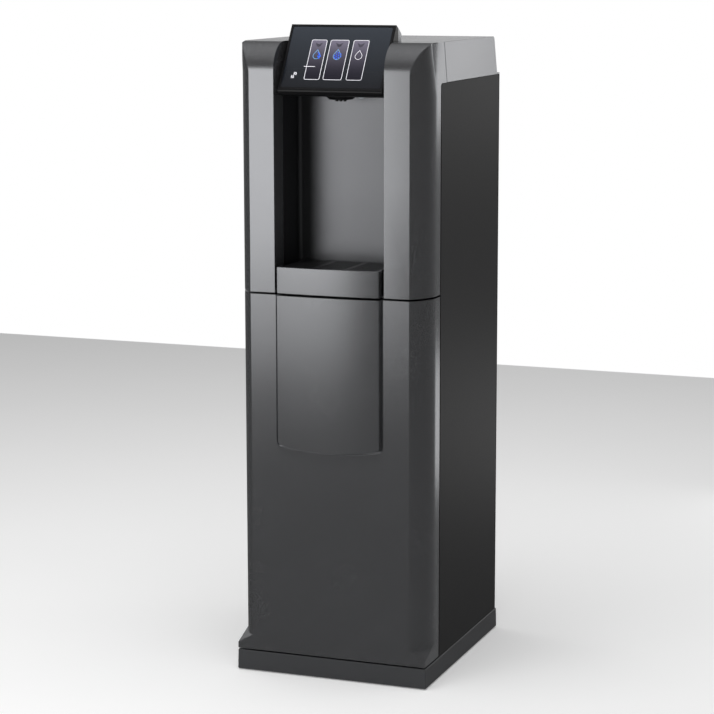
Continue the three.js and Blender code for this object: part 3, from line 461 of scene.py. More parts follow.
FINISHES = {
    "body_plastic": moulding("body_plastic", (0.40, 0.405, 0.42), 0.25, grain=0.05, metallic=0.88,
                             mottle=0.03),
    "plinth_plastic": moulding("plinth_plastic", (0.085, 0.087, 0.092), 0.42, grain=0.35, metallic=0.15),
    "dark_panel": powder_coat("dark_panel", (0.022, 0.022, 0.023), 0.50, texture=0.10),
    "black_plastic": moulding("black_plastic", (0.010, 0.010, 0.011), 0.36, grain=0.3),
    "alcove_plastic": moulding("alcove_plastic", (0.24, 0.243, 0.254), 0.30, grain=0.14, metallic=0.96,
                               mottle=0.03),
    "screen_glass": screen_glass(),
    "circuit_board": circuit_board(),
    "clear_plastic": translucent("clear_plastic", (0.82, 0.88, 0.93), 0.2, 0.75),
    "zinc_steel": galvanised("zinc_steel", (0.52, 0.54, 0.55)),
    "stainless": brushed("stainless", (0.60, 0.61, 0.62), 0.26),
    "foam": foam_skin(),
    "copper": brushed("copper", (0.72, 0.36, 0.20), 0.30),
    "brass": brushed("brass", (0.72, 0.55, 0.26), 0.30, along="X"),
    "aluminium": brushed("aluminium", (0.66, 0.67, 0.69), 0.34),
    "white_plastic": moulding("white_plastic", (0.72, 0.725, 0.71), 0.42, grain=0.2, mottle=0.02),
    "milky_plastic": translucent("milky_plastic", (0.78, 0.80, 0.78), 0.36, 0.80),
    "cylinder_paint": enamel("cylinder_paint", (0.24, 0.26, 0.28), 0.32),
    "blue_plastic": moulding("blue_plastic", (0.03, 0.13, 0.38), 0.36, grain=0.2),
    "rubber": rubber_compound(),
    "black_iron": enamel("black_iron", (0.012, 0.012, 0.013), 0.34),
}
KEY_FACE = key_face()
WHITE_INK = print_ink("white_ink", (0.86, 0.85, 0.90), 0.75)
PALE_INK = print_ink("pale_ink", (0.20, 0.42, 0.72), 0.35)
BLUE_INK = print_ink("blue_ink", (0.015, 0.10, 0.75), 0.6)
DARK_INK = print_ink("dark_ink", (0.012, 0.012, 0.016), 0.0)
RED_INK = print_ink("red_ink", (0.55, 0.03, 0.02), 0.0)


# ---------------------------------------------------------------- shapes
AXES = {"x": Vector((1, 0, 0)), "y": Vector((0, 1, 0)), "z": Vector((0, 0, 1))}


def lifted(axis, a, b, along):
    """A point from two coordinates of an outline and its place along the outline's own axis."""
    return {"z": Vector((a, b, along)), "y": Vector((a, along, b)), "x": Vector((along, a, b))}[axis]


def prism(points, axis, start, end):
    """An outline pushed along an axis. Outlines are (x, y) for z, (x, z) for y and (y, z) for x."""
    bm = bmesh.new()
    face = bm.faces.new([bm.verts.new(lifted(axis, a, b, start)) for a, b in points])
    raised = bmesh.ops.extrude_face_region(bm, geom=[face])["geom"]
    verts = [item for item in raised if isinstance(item, bmesh.types.BMVert)]
    bmesh.ops.translate(bm, verts=verts, vec=AXES[axis] * (end - start))
    bmesh.ops.recalc_face_normals(bm, faces=bm.faces)
    return bm


def slab(x0, x1, y0, y1, z0, z1, rounding=0.0, segments=3):
    """A box by its limits, with its edges rounded if asked."""
    bm = bmesh.new()
    bmesh.ops.create_cube(bm, size=1.0)
    bmesh.ops.scale(bm, verts=bm.verts, vec=(x1 - x0, y1 - y0, z1 - z0))
    bmesh.ops.translate(bm, verts=bm.verts, vec=((x0 + x1) / 2, (y0 + y1) / 2, (z0 + z1) / 2))
    if rounding:
        soften(bm, rounding, segments)
    return bm


def soften(bm, width, segments=3, angle=30.0, where=None):
    """Rounds the edges that turn by more than an angle, or only those of them that where picks."""
    bmesh.ops.dissolve_degenerate(bm, dist=0.005, edges=bm.edges)
    limit = math.radians(angle)
    edges = [e for e in bm.edges if len(e.link_faces) == 2 and e.calc_face_angle(0.0) > limit]
    if where is not None:
        edges = [e for e in edges if where(e.verts[0].co) and where(e.verts[1].co)]
    if edges:
        bmesh.ops.bevel(
            bm, geom=edges, offset=width, offset_type="OFFSET", affect="EDGES", segments=segments,
            profile=0.5, material=-1, clamp_overlap=True,
        )
    return bm


def rounded(points, radius, steps=6):
    """An outline with its corners made round. A radius may be one number or one for each corner."""
    count = len(points)
    radii = radius if isinstance(radius, (list, tuple)) else [radius] * count
    outline = []
    for i, (corner, size) in enumerate(zip(points, radii)):
        here = Vector(corner)
        before = (Vector(points[i - 1]) - here)
        after = (Vector(points[(i + 1) % count]) - here)
        if size <= 0:
            outline.append(tuple(here))
            continue
        half = before.angle(after) / 2
        reach = min(size / math.tan(half), before.length * 0.499, after.length * 0.499)
        size = reach * math.tan(half)
        centre = here + (before.normalized() + after.normalized()).normalized() * (size / math.sin(half))
        start = here + before.normalized() * reach - centre
        end = here + after.normalized() * reach - centre
        turn = start.angle_signed(end)
        for step in range(steps + 1):
            arm = start.copy()
            arm.rotate(Matrix.Rotation(-turn * step / steps, 2))
            outline.append(tuple(centre + arm))
    return outline


def rectangle(a0, a1, b0, b1, radius=0.0, steps=6):
    """The outline of a rectangle, with round corners if asked."""
    corners = [(a0, b0), (a1, b0), (a1, b1), (a0, b1)]
    return rounded(corners, radius, steps) if radius else corners


def lathe(profile, axis, centre, steps=64):
    """A profile of (radius, place along the axis) points turned about an axis through centre."""
    bm = bmesh.new()
    side = {"z": "x", "y": "x", "x": "z"}[axis]
    verts = [bm.verts.new(Vector(centre) + AXES[side] * radius + AXES[axis] * along) for radius,
             along in profile]
    edges = [bm.edges.new(pair) for pair in zip(verts, verts[1:])]
    bmesh.ops.spin(
        bm, geom=verts + edges, cent=centre, axis=AXES[axis], dvec=(0, 0, 0), angle=2 * math.pi,
        steps=steps, use_merge=True,
    )
    bmesh.ops.remove_doubles(bm, verts=bm.verts, dist=1e-3)
    bmesh.ops.recalc_face_normals(bm, faces=bm.faces)
    return bm


def rod(radius, axis, centre, start, end, rounding=0.0, steps=32):
    """A plain round bar from start to end along an axis, measured from centre's own coordinate 0 on it."""
    edge = rounding or 0.01
    profile = [(0, start), (radius - edge, start), (radius, start + edge), (radius, end - edge),
               (radius - edge, end), (0, end)]
    return lathe(profile, axis, centre, steps)


def loft(sections):
    """A closed body through closed sections that have equal numbers of points."""
    bm = bmesh.new()
    ring = [bm.verts.new(point) for point in sections[0]]
    edges = [bm.edges.new(pair) for pair in zip(ring, ring[1:] + ring[:1])]
    bm.faces.new(ring)
    for section in sections[1:]:
        made = bmesh.ops.extrude_edge_only(bm, edges=edges)["geom"]
        fresh = {item for item in made if isinstance(item, bmesh.types.BMVert)}
        ring = [next(e.other_vert(v) for e in v.link_edges if e.other_vert(v) in fresh) for v in ring]
        for vert, point in zip(ring, section):
            vert.co = point
        edges = [item for item in made if isinstance(item,
                                                     bmesh.types.BMEdge) and fresh.issuperset(item.verts)]
    bm.faces.new(ring)
    bmesh.ops.remove_doubles(bm, verts=bm.verts, dist=1e-3)
    bmesh.ops.dissolve_degenerate(bm, dist=1e-3, edges=bm.edges)
    bmesh.ops.recalc_face_normals(bm, faces=bm.faces)
    return bm


def hose(points, radius, sides=16, steps=10, square=False):
    """A round tube along a smooth curve through points, with closed ends."""
    curve = bpy.data.curves.new("hose", "CURVE")
    curve.dimensions = "3D"
    curve.bevel_depth = radius
    curve.bevel_resolution = max(sides // 4 - 1, 1)
    curve.use_fill_caps = True
    curve.resolution_u = steps
    spline = curve.splines.new("POLY" if square else "BEZIER")
    stops = spline.points if square else spline.bezier_points
    stops.add(len(points) - 1)
    for stop, point in zip(stops, points):
        if square:
            stop.co = (*point, 1.0)
        else:
            stop.co = point
            stop.handle_left_type = stop.handle_right_type = "AUTO"
    holder = bpy.data.objects.new("hose", curve)
    bpy.context.scene.collection.objects.link(holder)
    mesh = bpy.data.meshes.new_from_object(holder.evaluated_get(bpy.context.evaluated_depsgraph_get()))
    bm = bmesh.new()
    bm.from_mesh(mesh)
    bpy.data.objects.remove(holder)
    bpy.data.curves.remove(curve)
    bpy.data.meshes.remove(mesh)
    bmesh.ops.remove_doubles(bm, verts=bm.verts, dist=1e-3)
    bmesh.ops.recalc_face_normals(bm, faces=bm.faces)
    return bm


def as_object(bm, name="working"):
    """A mesh made into an object."""
    mesh = bpy.data.meshes.new(name)
    bm.to_mesh(mesh)
    bm.free()
    thing = bpy.data.objects.new(name, mesh)
    bpy.context.scene.collection.objects.link(thing)
    return thing


def combine(base, tool, operation, crossing=False):
    """One shape with another joined, cut away or kept in common. Crossing tools may run into each other."""
    first, second = as_object(base), as_object(tool)
    step = first.modifiers.new("step", "BOOLEAN")
    step.operation = operation
    step.solver = "EXACT"
    step.use_self = crossing
    step.object = second
    result = bmesh.new()
    result.from_object(first, bpy.context.evaluated_depsgraph_get())
    for thing in (first, second):
        mesh = thing.data
        bpy.data.objects.remove(thing)
        bpy.data.meshes.remove(mesh)
    bmesh.ops.dissolve_degenerate(result, dist=0.002, edges=result.edges)
    return result


def gathered(shapes):
    """Several separate closed shapes in one mesh."""
    whole = bmesh.new()
    for shape in shapes:
        mesh = bpy.data.meshes.new("part")
        shape.to_mesh(mesh)
        shape.free()
        whole.from_mesh(mesh)
        bpy.data.meshes.remove(mesh)
    return whole


def cut(base, *tools):
    """The base less all the tools."""
    return combine(base, gathered(tools), "DIFFERENCE", crossing=len(tools) > 1)


def join(base, *others):
    """The base and all the others made one solid."""
    for other in others:
        base = combine(base, other, "UNION")
    return base


def mirrored(bm, keep=False):
    """The shape on the cabinet's other side, or with keep both of them."""
    other = bm.copy()
    bmesh.ops.scale(other, verts=other.verts, vec=(-1, 1, 1))
    bmesh.ops.reverse_faces(other, faces=other.faces)
    return gathered([bm, other]) if keep else other


def moved(bm, matrix):
    """The same shape, put through a matrix."""
    bmesh.ops.transform(bm, matrix=matrix, verts=bm.verts)
    return bm


def turned_about(axis, centre, angle):
    """A turn about an axis through a centre."""
    return Matrix.Translation(centre) @ Matrix.Rotation(angle, 4,
                                                        AXES[axis]) @ Matrix.Translation(-Vector(centre))


def around(bm, axis, centre, count):
    """Equal copies of a shape in a ring about an axis."""
    copies = [moved(bm.copy(), turned_about(axis, centre, 2 * math.pi * i / count)) for i in range(count)]
    bm.free()
    return gathered(copies)


def piece(name, bm, node, finish=None, replaces=False, smooth=32.0, weigh=True):
    """A finished piece: it rides with a CAD node's body, and stands for that node where replaces says so."""
    bmesh.ops.transform(bm, matrix=TO_FRAME, verts=bm.verts)
    mesh = bpy.data.meshes.new(name)
    bm.to_mesh(mesh)
    bm.free()
    thing = bpy.data.objects.new(name, mesh)
    bpy.context.scene.collection.objects.link(thing)
    mesh.polygons.foreach_set("use_smooth", [True] * len(mesh.polygons))
    mesh.set_sharp_from_angle(angle=math.radians(smooth))
    if weigh:
        weights = thing.modifiers.new("weights", "WEIGHTED_NORMAL")
        weights.keep_sharp = True
    slot = SLOT_OF[node] if finish is None or not isinstance(finish, str) else finish
    mesh.materials.append(finish if isinstance(finish, bpy.types.Material) else FINISHES[slot])
    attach(thing, BODY_OF[node])
    if replaces:
        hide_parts(node)
    return thing


def drawn(node):
    """A CAD node's shape with its triangles merged back into whole faces, in the drawing's millimetres."""
    bm = bmesh.new()
    bm.from_mesh(frame["nodes"][node].data)
    bmesh.ops.transform(bm, matrix=TO_DRAWING, verts=bm.verts)
    bmesh.ops.remove_doubles(bm, verts=bm.verts, dist=0.005)
    bmesh.ops.dissolve_limit(bm, angle_limit=math.radians(0.6), verts=bm.verts, edges=bm.edges)
    bmesh.ops.recalc_face_normals(bm, faces=bm.faces)
    return bm


def refined(node, width=0.4, segments=2, angle=40.0, name=None, extras=()):
    """A piece whose CAD shape is right, given rounded edges and small additions."""
    shape = soften(drawn(node), width, segments, angle)
    return piece(name or node + "_body", gathered([shape, *extras]), node, replaces=True)


def screw(x, y, z, axis, head=3.4, rise=1.6, direction=1):
    """A pan-head screw with a cross recess, its head standing on (x, y, z) along an axis."""
    profile = [(0, 0), (head, 0), (head, rise * 0.45), (head * 0.86, rise * 0.85), (head * 0.5, rise),
               (0, rise)]
    shape = lathe(profile, "z", (0, 0, 0), 20)
    reach, low = head * 0.55, rise * 0.45
    shape = cut(shape, slab(-0.45, 0.45, -reach, reach, low, rise + 1),
                slab(-reach, reach, -0.45, 0.45, low, rise + 1))
    aimed = AXES["z"].rotation_difference(AXES[axis] * direction).to_matrix().to_4x4()
    return moved(shape, Matrix.Translation((x, y, z)) @ aimed)


# ---------------------------------------------------------------- cabinet fronts
SKIN = 3.0
CREASE = 139.4
BEVEL_DEPTH = 53.0
ROLL_DEPTH, ROLL_HEIGHT = 48.0, 48.0
SPLIT = 1000.0
FACE_HALF, FACE_PROUD, FACE_BULGE = 90.0, 7.0, 4.0
APRON_CORNER, APRON_SAG = 401.0, 10.0
GROOVE, LOW_GROOVE, POCKET = 4.5, 2.5, 6.0

door = Extent("door_shell")
fascia = Extent("front_fascia")
cover = Extent("top_cover")
HALF = door.x1
COLUMN_INNER = 96.0


def bevel_curve(x0, y0, x1, y1, steps=20):
    """The corner bevel in plan: a shallow convex curve from the front face's crease to the side flange."""
    a = Vector((x0, y0))
    b = Vector((x0 + 0.364 * (x1 - x0), y0 + 0.075 * (y1 - y0)))
    c = Vector((x1, y0 + 0.62 * (y1 - y0)))
    d = Vector((x1, y1))
    curve = []
    for step in range(steps + 1):
        t = step / steps
        point = a * (1 - t) ** 3 + b * (3 * t * (1 - t) ** 2) + c * (3 * t * t * (1 - t)) + d * t ** 3
        curve.append(tuple(point))
    return curve


def bowed(half, inset, back, steps=28):
    """The plan of the bowed face that the apron and the drip tray share."""
    face = [(half * (2 * i / steps - 1), inset) for i in range(steps + 1)]
    face = [(x, y - FACE_PROUD - FACE_BULGE * (1 - (x / FACE_HALF) ** 2)) for x, y in face]
    return face + [(half, back), (-half, back)]


def apron_outline(side_margin, low_margin, top, corner=4.0, steps=28):
    """The apron from the front, with its sagging lower edge, grown by a margin at its sides and below."""
    half = FACE_HALF + side_margin
    low = APRON_CORNER - low_margin
    sweep = [half - corner - 2 * (half - corner) * i / steps for i in range(steps + 1)]
    edge = [(x, low - APRON_SAG * (1 - (x / half) ** 2)) for x in sweep]
    return [(half, top), (half, low + corner), *edge, (-half, low + corner), (-half, top)]


def door_shell():
    """The door skin: bevelled sides with stop facets, an apron recess and bosses for its pins."""
    z0, z1 = door.z0, door.z1
    block = slab(-HALF, HALF, 0, door.y1, z0, z1)
    outside = bevel_curve(CREASE, 0, HALF, BEVEL_DEPTH) + [(HALF + 5, BEVEL_DEPTH), (HALF + 5, -5),
                                                           (CREASE, -5)]
    tool = prism(outside, "z", z0 - 10, z1 + 10)
    low, inward, rearward = 49.0, 0.559, 0.368
    stop = Vector((HALF, 0, low))
    facet = Vector((inward, -rearward, 1.0)).normalized()
    cutting = bmesh.ops.bisect_plane(
        tool, geom=[*tool.verts, *tool.edges, *tool.faces], plane_co=stop, plane_no=facet, clear_inner=True,
    )["geom_cut"]
    bmesh.ops.holes_fill(tool, edges=[e for e in cutting if isinstance(e, bmesh.types.BMEdge)])
    bmesh.ops.recalc_face_normals(tool, faces=tool.faces)
    block = cut(block, tool.copy(), mirrored(tool))
    soften(block, 0.7, 3, 14.0)
    inside = bevel_curve(CREASE - 1, SKIN, HALF - SKIN, BEVEL_DEPTH, 12)
    left = [(-x, y) for x, y in reversed(inside)]
    hollow = prism([*inside, (HALF - SKIN, 90), (SKIN - HALF, 90), *left], "z", z0 + SKIN, z1 - SKIN)
    shell = cut(block, hollow)
    backing = prism(apron_outline(GROOVE + SKIN, LOW_GROOVE + SKIN, z1 - 1.5), "y", SKIN - 1, POCKET + SKIN)
    recess = prism(apron_outline(GROOVE, LOW_GROOVE, z1 + 5), "y", -1, POCKET)
    shell = cut(join(shell, backing), recess)
    rim = HALF * 0.6
    soften(shell, 0.5, 2, 60.0, lambda p: abs(p.y) < 0.01 and abs(p.x) < rim and z0 + 100 < p.z < z1 - 2)
    pivot = Extent("hinge_bracket_top")
    pin_x, pin_y = pivot.x0 + 5.0, pivot.y0 + 5.5
    bores = [rod(3.3, "z", (pin_x, pin_y, 0), z0 - 1, z0 + 12),
             rod(3.3, "z", (pin_x, pin_y, 0), z1 - 12, z1 + 1)]
    bosses = [rod(5.9, "z", (pin_x + 1, pin_y, 0), z0 + 1, z0 + 10),
              rod(5.9, "z", (pin_x + 1, pin_y, 0), z1 - 10, z1 - 1)]
    shell = cut(join(shell, gathered(bosses)), *bores)
    return piece("door_front", shell, "door_shell", replaces=True)


def apron_panel():
    """The bowed panel let into the door."""
    z1 = Extent("apron_panel").z1
    block = prism(bowed(FACE_HALF, 0, POCKET - 0.3), "z", APRON_CORNER - APRON_SAG - 5, z1)
    outline = prism(apron_outline(0, 0, z1 + 1), "y", -20, 20)
    panel = combine(block, outline, "INTERSECT")
    soften(panel, 0.8, 3, 35.0, lambda p: p.y < 3)
    return piece("apron", panel, "apron_panel", replaces=True)


def tray_front():
    """The drip tray's bowed front."""
    tray = Extent("drip_tray_front")
    outer = prism(bowed(tray.x1, 0, tray.y1), "z", tray.z0, tray.z1)
    soften(outer, 0.9, 3, 35.0)
    inner = prism(bowed(tray.x1 - SKIN, SKIN, tray.y1 + 5), "z", tray.z0 - 2, tray.z1 + 2)
    return piece("tray_front", cut(outer, inner), "drip_tray_front", replaces=True)


def roll_turns(steps):
    """Even steps through a quarter turn."""
    return [math.pi / 2 * i / steps for i in range(steps + 1)]


def column_block(inset, inner, low, back, steps):
    """One column as a solid: the corner bevel follows the rolled top and dies out at the shoulder."""
    top, side = fascia.z1 - inset, HALF - inset
    narrow_from, narrow_to = 986.0, 1064.0
    start = fascia.z1 - ROLL_HEIGHT
    levels = [(low, inset), (0.5 * (low + start), inset), (narrow_from - 6, inset)]
    for turn in roll_turns(steps):
        z = start + (top - start) * math.sin(turn)
        levels.append((z, ROLL_DEPTH - (ROLL_DEPTH - inset) * math.cos(turn)))
    sections = []
    for z, y in levels:
        share = min(((y - inset) / 40) ** 0.65, 1)
        narrowing = min(max((z - narrow_from) / (narrow_to - narrow_from), 0), 1)
        flange = max(BEVEL_DEPTH - 15 * narrowing, y)
        shoulder = side - 4.5 * narrowing
        crease = min(CREASE + (HALF - CREASE) * share - inset, shoulder)
        corner = (side, max(BEVEL_DEPTH + 2, y + 1))
        edge = [(inner, back), (inner, y), *bevel_curve(crease, y, shoulder, flange, 16), corner,
                (side, back)]
        sections.append([Vector((x, depth, z)) for x, depth in edge])
    return loft(sections)


def front_fascia():
    """Both columns with their rolled tops, the shelf under the alcove and the bridge behind the head."""
    inner, low = COLUMN_INNER, fascia.z0
    block = column_block(0, inner, low, 112, 28)
    soften(block, 0.8, 3, 24.0, lambda p: p.y < 69 and p.z < fascia.z1 - 0.5)
    hollow = column_block(SKIN, inner + SKIN, low + SKIN, 122, 12)
    back = fascia.z1
    rear_cut = prism(rounded([
        (70.5, 500), (70.5, SPLIT), (100, SPLIT), (85.5, back), (85.5, back + 20), (220, back + 20),
        (220, 500),
    ], [0, 6, 0, 0, 0, 0, 0]), "x", -HALF - 5, HALF + 5)
    liner = Extent("alcove_liner")
    liner_room = slab(90, inner + SKIN + 0.4, liner.y0 - 0.3, 122, low + SKIN, liner.z1 + 6)
    column = cut(block, hollow, liner_room)
    columns = cut(mirrored(column, keep=True), rear_cut)
    tray = Extent("drip_tray_front")
    shelf_top = low + 2.5
    shelf = slab(-inner - SKIN, inner + SKIN, tray.y1 + 1, 70, low, shelf_top)
    shelf_rear = slab(-inner, inner, 69, 104, low, shelf_top)
    bridge = slab(-inner - 2, inner + 2, 84, 88, 1012, 1045)
    whole = join(columns, shelf, shelf_rear, bridge)
    whole = cut(whole, rod(5, "z", (0, 98, 0), low - 1, low + 4))
    return piece("fascia", whole, "front_fascia", replaces=True)


def top_cover():
    """The sloped cover behind the head, with its notch."""
    top, wall = cover.z1, 2.5
    outline = [(87.3, top), (358, top), (376, SPLIT + 3), (cover.y1, SPLIT + 3), (cover.y1, SPLIT),
               (101.8, SPLIT)]
    outer = prism(rounded(outline, [0.6, 7, 4, 0.6, 0.6, 0.6]), "x", -HALF, HALF)
    soften(outer, 0.9, 3, 60.0)
    inner = prism([(60, top - wall), (356, top - wall), (373.5, SPLIT + 3), (373.5, SPLIT - 3),
                   (60, SPLIT - 3)],
                  "x", -HALF + wall, HALF - wall)
    head = Extent("head_bezel")
    rear = Extent("head_rear_cover")
    notch = slab(head.x0 - 0.3, head.x1 + 0.3, 76, rear.y1 + 0.3, top - wall - 1, top + 2)
    return piece("cover", cut(outer, inner, notch), "top_cover", replaces=True)


def plinth():
    """The flared plinth under the cabinet."""
    base = Extent("plinth")
    draft, wall = 0.7, 4.0
    block = slab(base.x0, base.x1, base.y0, base.y1, base.z0, base.z1)
    for vert in block.verts:
        if vert.co.z > base.z:
            vert.co.x -= math.copysign(draft, vert.co.x)
            vert.co.y -= math.copysign(draft, vert.co.y - base.y)
    soften(block, 2.0, 4, 60.0, lambda p: True)
    hollow = slab(base.x0 + wall, base.x1 - wall, base.y0 + wall, base.y1 - wall, base.z0 - 5,
                  base.z1 - SKIN)
    feet = [Extent("foot_" + place) for place in ("front_left", "front_right", "rear_left", "rear_right")]
    bosses = [rod(13, "z", (foot.x, foot.y, 0), 12, base.z1 - 1) for foot in feet]
    bores = [rod(5.3, "z", (foot.x, foot.y, 0), 10, 30) for foot in feet]
    return piece("base", cut(join(cut(block, hollow), gathered(bosses)), *bores), "plinth", replaces=True)


def foot(place):
    """A levelling foot: a rubber pad and a threaded stud."""
    node = "foot_" + place
    size = Extent(node)
    radius, centre = size.width / 2, (size.x, size.y, 0)
    pad = lathe([(0, 0), (radius - 2, 0), (radius, 1), (radius, 4), (radius - 1.6, 5), (radius - 4, 6.2),
                 (7, 6.6),
                 (0, 6.6)], "z", centre)
    grips = around(slab(size.x + radius - 1.6, size.x + radius - 0.2, size.y - 0.8, size.y + 0.8, 1.5, 5.0,
                        0.2), "z",
                   centre, 36)
    piece(node + "_pad", gathered([pad, grips]), node, replaces=True)
    thread = [(0, 6.0), (4.6, 6.0)]
    thread += [(4.6 + 0.35 * (i % 2), 7.0 + 0.75 * i) for i in range(27)]
    stud = lathe([*thread, (4.2, size.z1), (0, size.z1)], "z", centre, 32)
    nut = soften(lathe([(0, 6.8), (8.2, 6.8), (8.2, 11.2), (0, 11.2)], "z", centre, 6), 0.4, 2, 30)
    piece(node + "_stud", gathered([stud, nut]), node, "zinc_steel")


def side_panel(side):
    """Powder-coated sheet with returned edges and a rounded upper front corner."""
    node = "side_panel_" + side
    panel = Extent(node)
    sheet, flange = 1.5, 10.0
    sign = 1 if side == "right" else -1
    outline = rounded([(panel.y0, panel.z0), (panel.y1, panel.z0), (panel.y1, panel.z1),
                       (panel.y0, panel.z1)],
                      [0, 0, 0, 6])
    skin = prism(outline, "x", HALF - sheet, HALF)
    soften(skin, 0.35, 2, 50.0)
    inner = HALF - sheet
    returns = [
        slab(inner - flange, inner + 0.6, panel.y0 + 0.1, panel.y0 + sheet, panel.z0 + 0.3, panel.z1 - 6,
             0.2, 2),
        slab(inner - flange, inner + 0.6, panel.y1 - sheet, panel.y1 - 0.1, panel.z0 + 0.3, panel.z1 - 0.3,
             0.2, 2),
        slab(inner - flange, inner + 0.6, panel.y0 + 0.3, panel.y1 - 0.3, panel.z0 + 0.1, panel.z0 + sheet,
             0.2, 2),
    ]
    shape = gathered([skin, *returns])
    piece("side_" + side, shape if sign > 0 else mirrored(shape), node, replaces=True)


def rear_panel():
    """A sheet with pressed louvres, holes for the services and a row of screws down each edge."""
    panel = Extent("rear_panel")
    front, back = panel.y0, panel.y1
    sheet = slab(panel.x0, panel.x1, front, back, panel.z0, panel.z1, 0.5, 2)
    banks = [(-140, -4, 70, 9), (-110, 110, 890, 5)]
    pitch, height = 16.0, 7.0
    slots, hoods = [], []
    for x0, x1, low, rows in banks:
        for row in range(rows):
            z = low + row * pitch
            slots.append(prism(rectangle(x0, x1, z, z + height, 2.0), "y", front - 1, back + 1))
            lip = prism([(back - 0.6, z + height + 3.4), (back + 3.2, z + 0.8), (back + 3.2, z - 0.4),
                         (back - 0.6, z + height + 1.0)], "x", x0 - 1, x1 + 1)
            hoods.append(soften(lip, 0.4, 2, 40.0))
    mains, inlet = Extent("mains_inlet"), Extent("inlet_fitting")
    ports = [
        rod(11, "y", (inlet.x, 0, inlet.z), front - 1, back + 1),
        slab(mains.x - 20.5, mains.x + 20.5, front - 1, back + 1, 228.5, 251.5),
        slab(mains.x - 10.5, mains.x + 10.5, front - 1, back + 1, 269.5, 298.5),
    ]
    shape = cut(sheet, *slots, *ports)
    spots = [(side * (HALF - 6), z) for side in (-1, 1) for z in (60, 240, 420, 600, 780, 975)]
    screws = [screw(x, back, z, "y", 3.2, 1.7) for x, z in spots]
    piece("rear_sheet", gathered([shape, *hoods]), "rear_panel", replaces=True)
    piece("rear_screws", gathered(screws), "rear_panel", "zinc_steel")


def alcove_liner():
    """The alcove's curved back and sides."""
    liner = Extent("alcove_liner")
    wall, inner, back = 2.5, COLUMN_INNER, liner.y1 - 2.5
    outer = rounded([(-inner - wall, liner.y0), (inner + wall, liner.y0), (inner + wall, liner.y1),
                     (-inner - wall, liner.y1)], [0, 0, 9.5, 9.5], 8)
    hollow = rounded([(-inner, liner.y0 - 5), (inner, liner.y0 - 5), (inner, back), (-inner, back)],
                     [0, 0, 7, 7], 8)
    shell = cut(prism(outer, "z", liner.z0, liner.z1), prism(hollow, "z", liner.z0 - 2, liner.z1 + 2))
    return piece("alcove", shell, "alcove_liner", replaces=True)


# ---------------------------------------------------------------- drip tray
def drip_tray():
    """The basin and its slotted grille."""
    basin = Extent("drip_tray_basin")
    wall = 2.5
    outer = prism(rectangle(basin.x0, basin.x1, basin.y0, basin.y1, 5.0), "z", basin.z0, basin.z1)
    inner = prism(rectangle(basin.x0 + wall, basin.x1 - wall, basin.y0 + wall, basin.y1 - wall, 3.5), "z",
                  basin.z0 + wall, basin.z1 + 2)
    tub = cut(soften(outer, 0.5, 2, 50.0), inner, rod(4, "z", (0, 98, 0), basin.z0 - 1,
                                                      basin.z0 + wall + 1))
    piece("tray_basin", tub, "drip_tray_basin", replaces=True)

    grille = Extent("drip_grille")
    half = grille.x1
    plate = soften(prism(bowed(half, SKIN + 0.6, grille.y1), "z", grille.z0, grille.z1), 0.5, 2, 50.0)
    rows, gap = 22, 2.1
    first, last = grille.y0 + 13.0, grille.y1 - 7.0
    slots = []
    for row in range(rows):
        y = first + (last - first) * row / (rows - 1)
        for side in (-1, 0, 1):
            middle = side * (2 * half / 3 - 1.0)
            reach = half / 3 - 4.5
            slots.append(prism(rectangle(middle - reach, middle + reach, y - gap / 2, y + gap / 2, 1.0, 3),
                               "z",
                               grille.z0 - 1, grille.z1 + 1))
    piece("grille_plate", cut(plate, *slots), "drip_grille", replaces=True)


# ---------------------------------------------------------------- control head
bezel = Extent("head_bezel")
SLANT_FOOT = Vector((0, bezel.y0, bezel.z0))
SLANT_TOP = Vector((0, 71.0, bezel.z1))
SLANT_LENGTH = (SLANT_TOP - SLANT_FOOT).length
SLANT_UP = (SLANT_TOP - SLANT_FOOT).normalized()
SLANT_OUT = Vector((1, 0, 0)).cross(SLANT_UP)
ON_SLANT = Matrix.Translation(SLANT_FOOT) @ Matrix((AXES["x"], SLANT_UP, SLANT_OUT)).transposed().to_4x4()
GLASS_HALF = bezel.x1 - 4.5
GLASS_EDGE, GLASS_THICK, GLASS_RECESS = 4.5, 2.0, 0.4


def slanted(points, w0, w1):
    """An outline on the sloping face, from depth w0 to w1 along the face's outward direction."""
    return moved(prism(points, "z", w0, w1), ON_SLANT)


def glass_outline(inset, radius):
    """The touch glass's outline on the slant."""
    return rectangle(-GLASS_HALF + inset, GLASS_HALF - inset, GLASS_EDGE + inset,
                     SLANT_LENGTH - GLASS_EDGE - inset,
                     radius, 8)


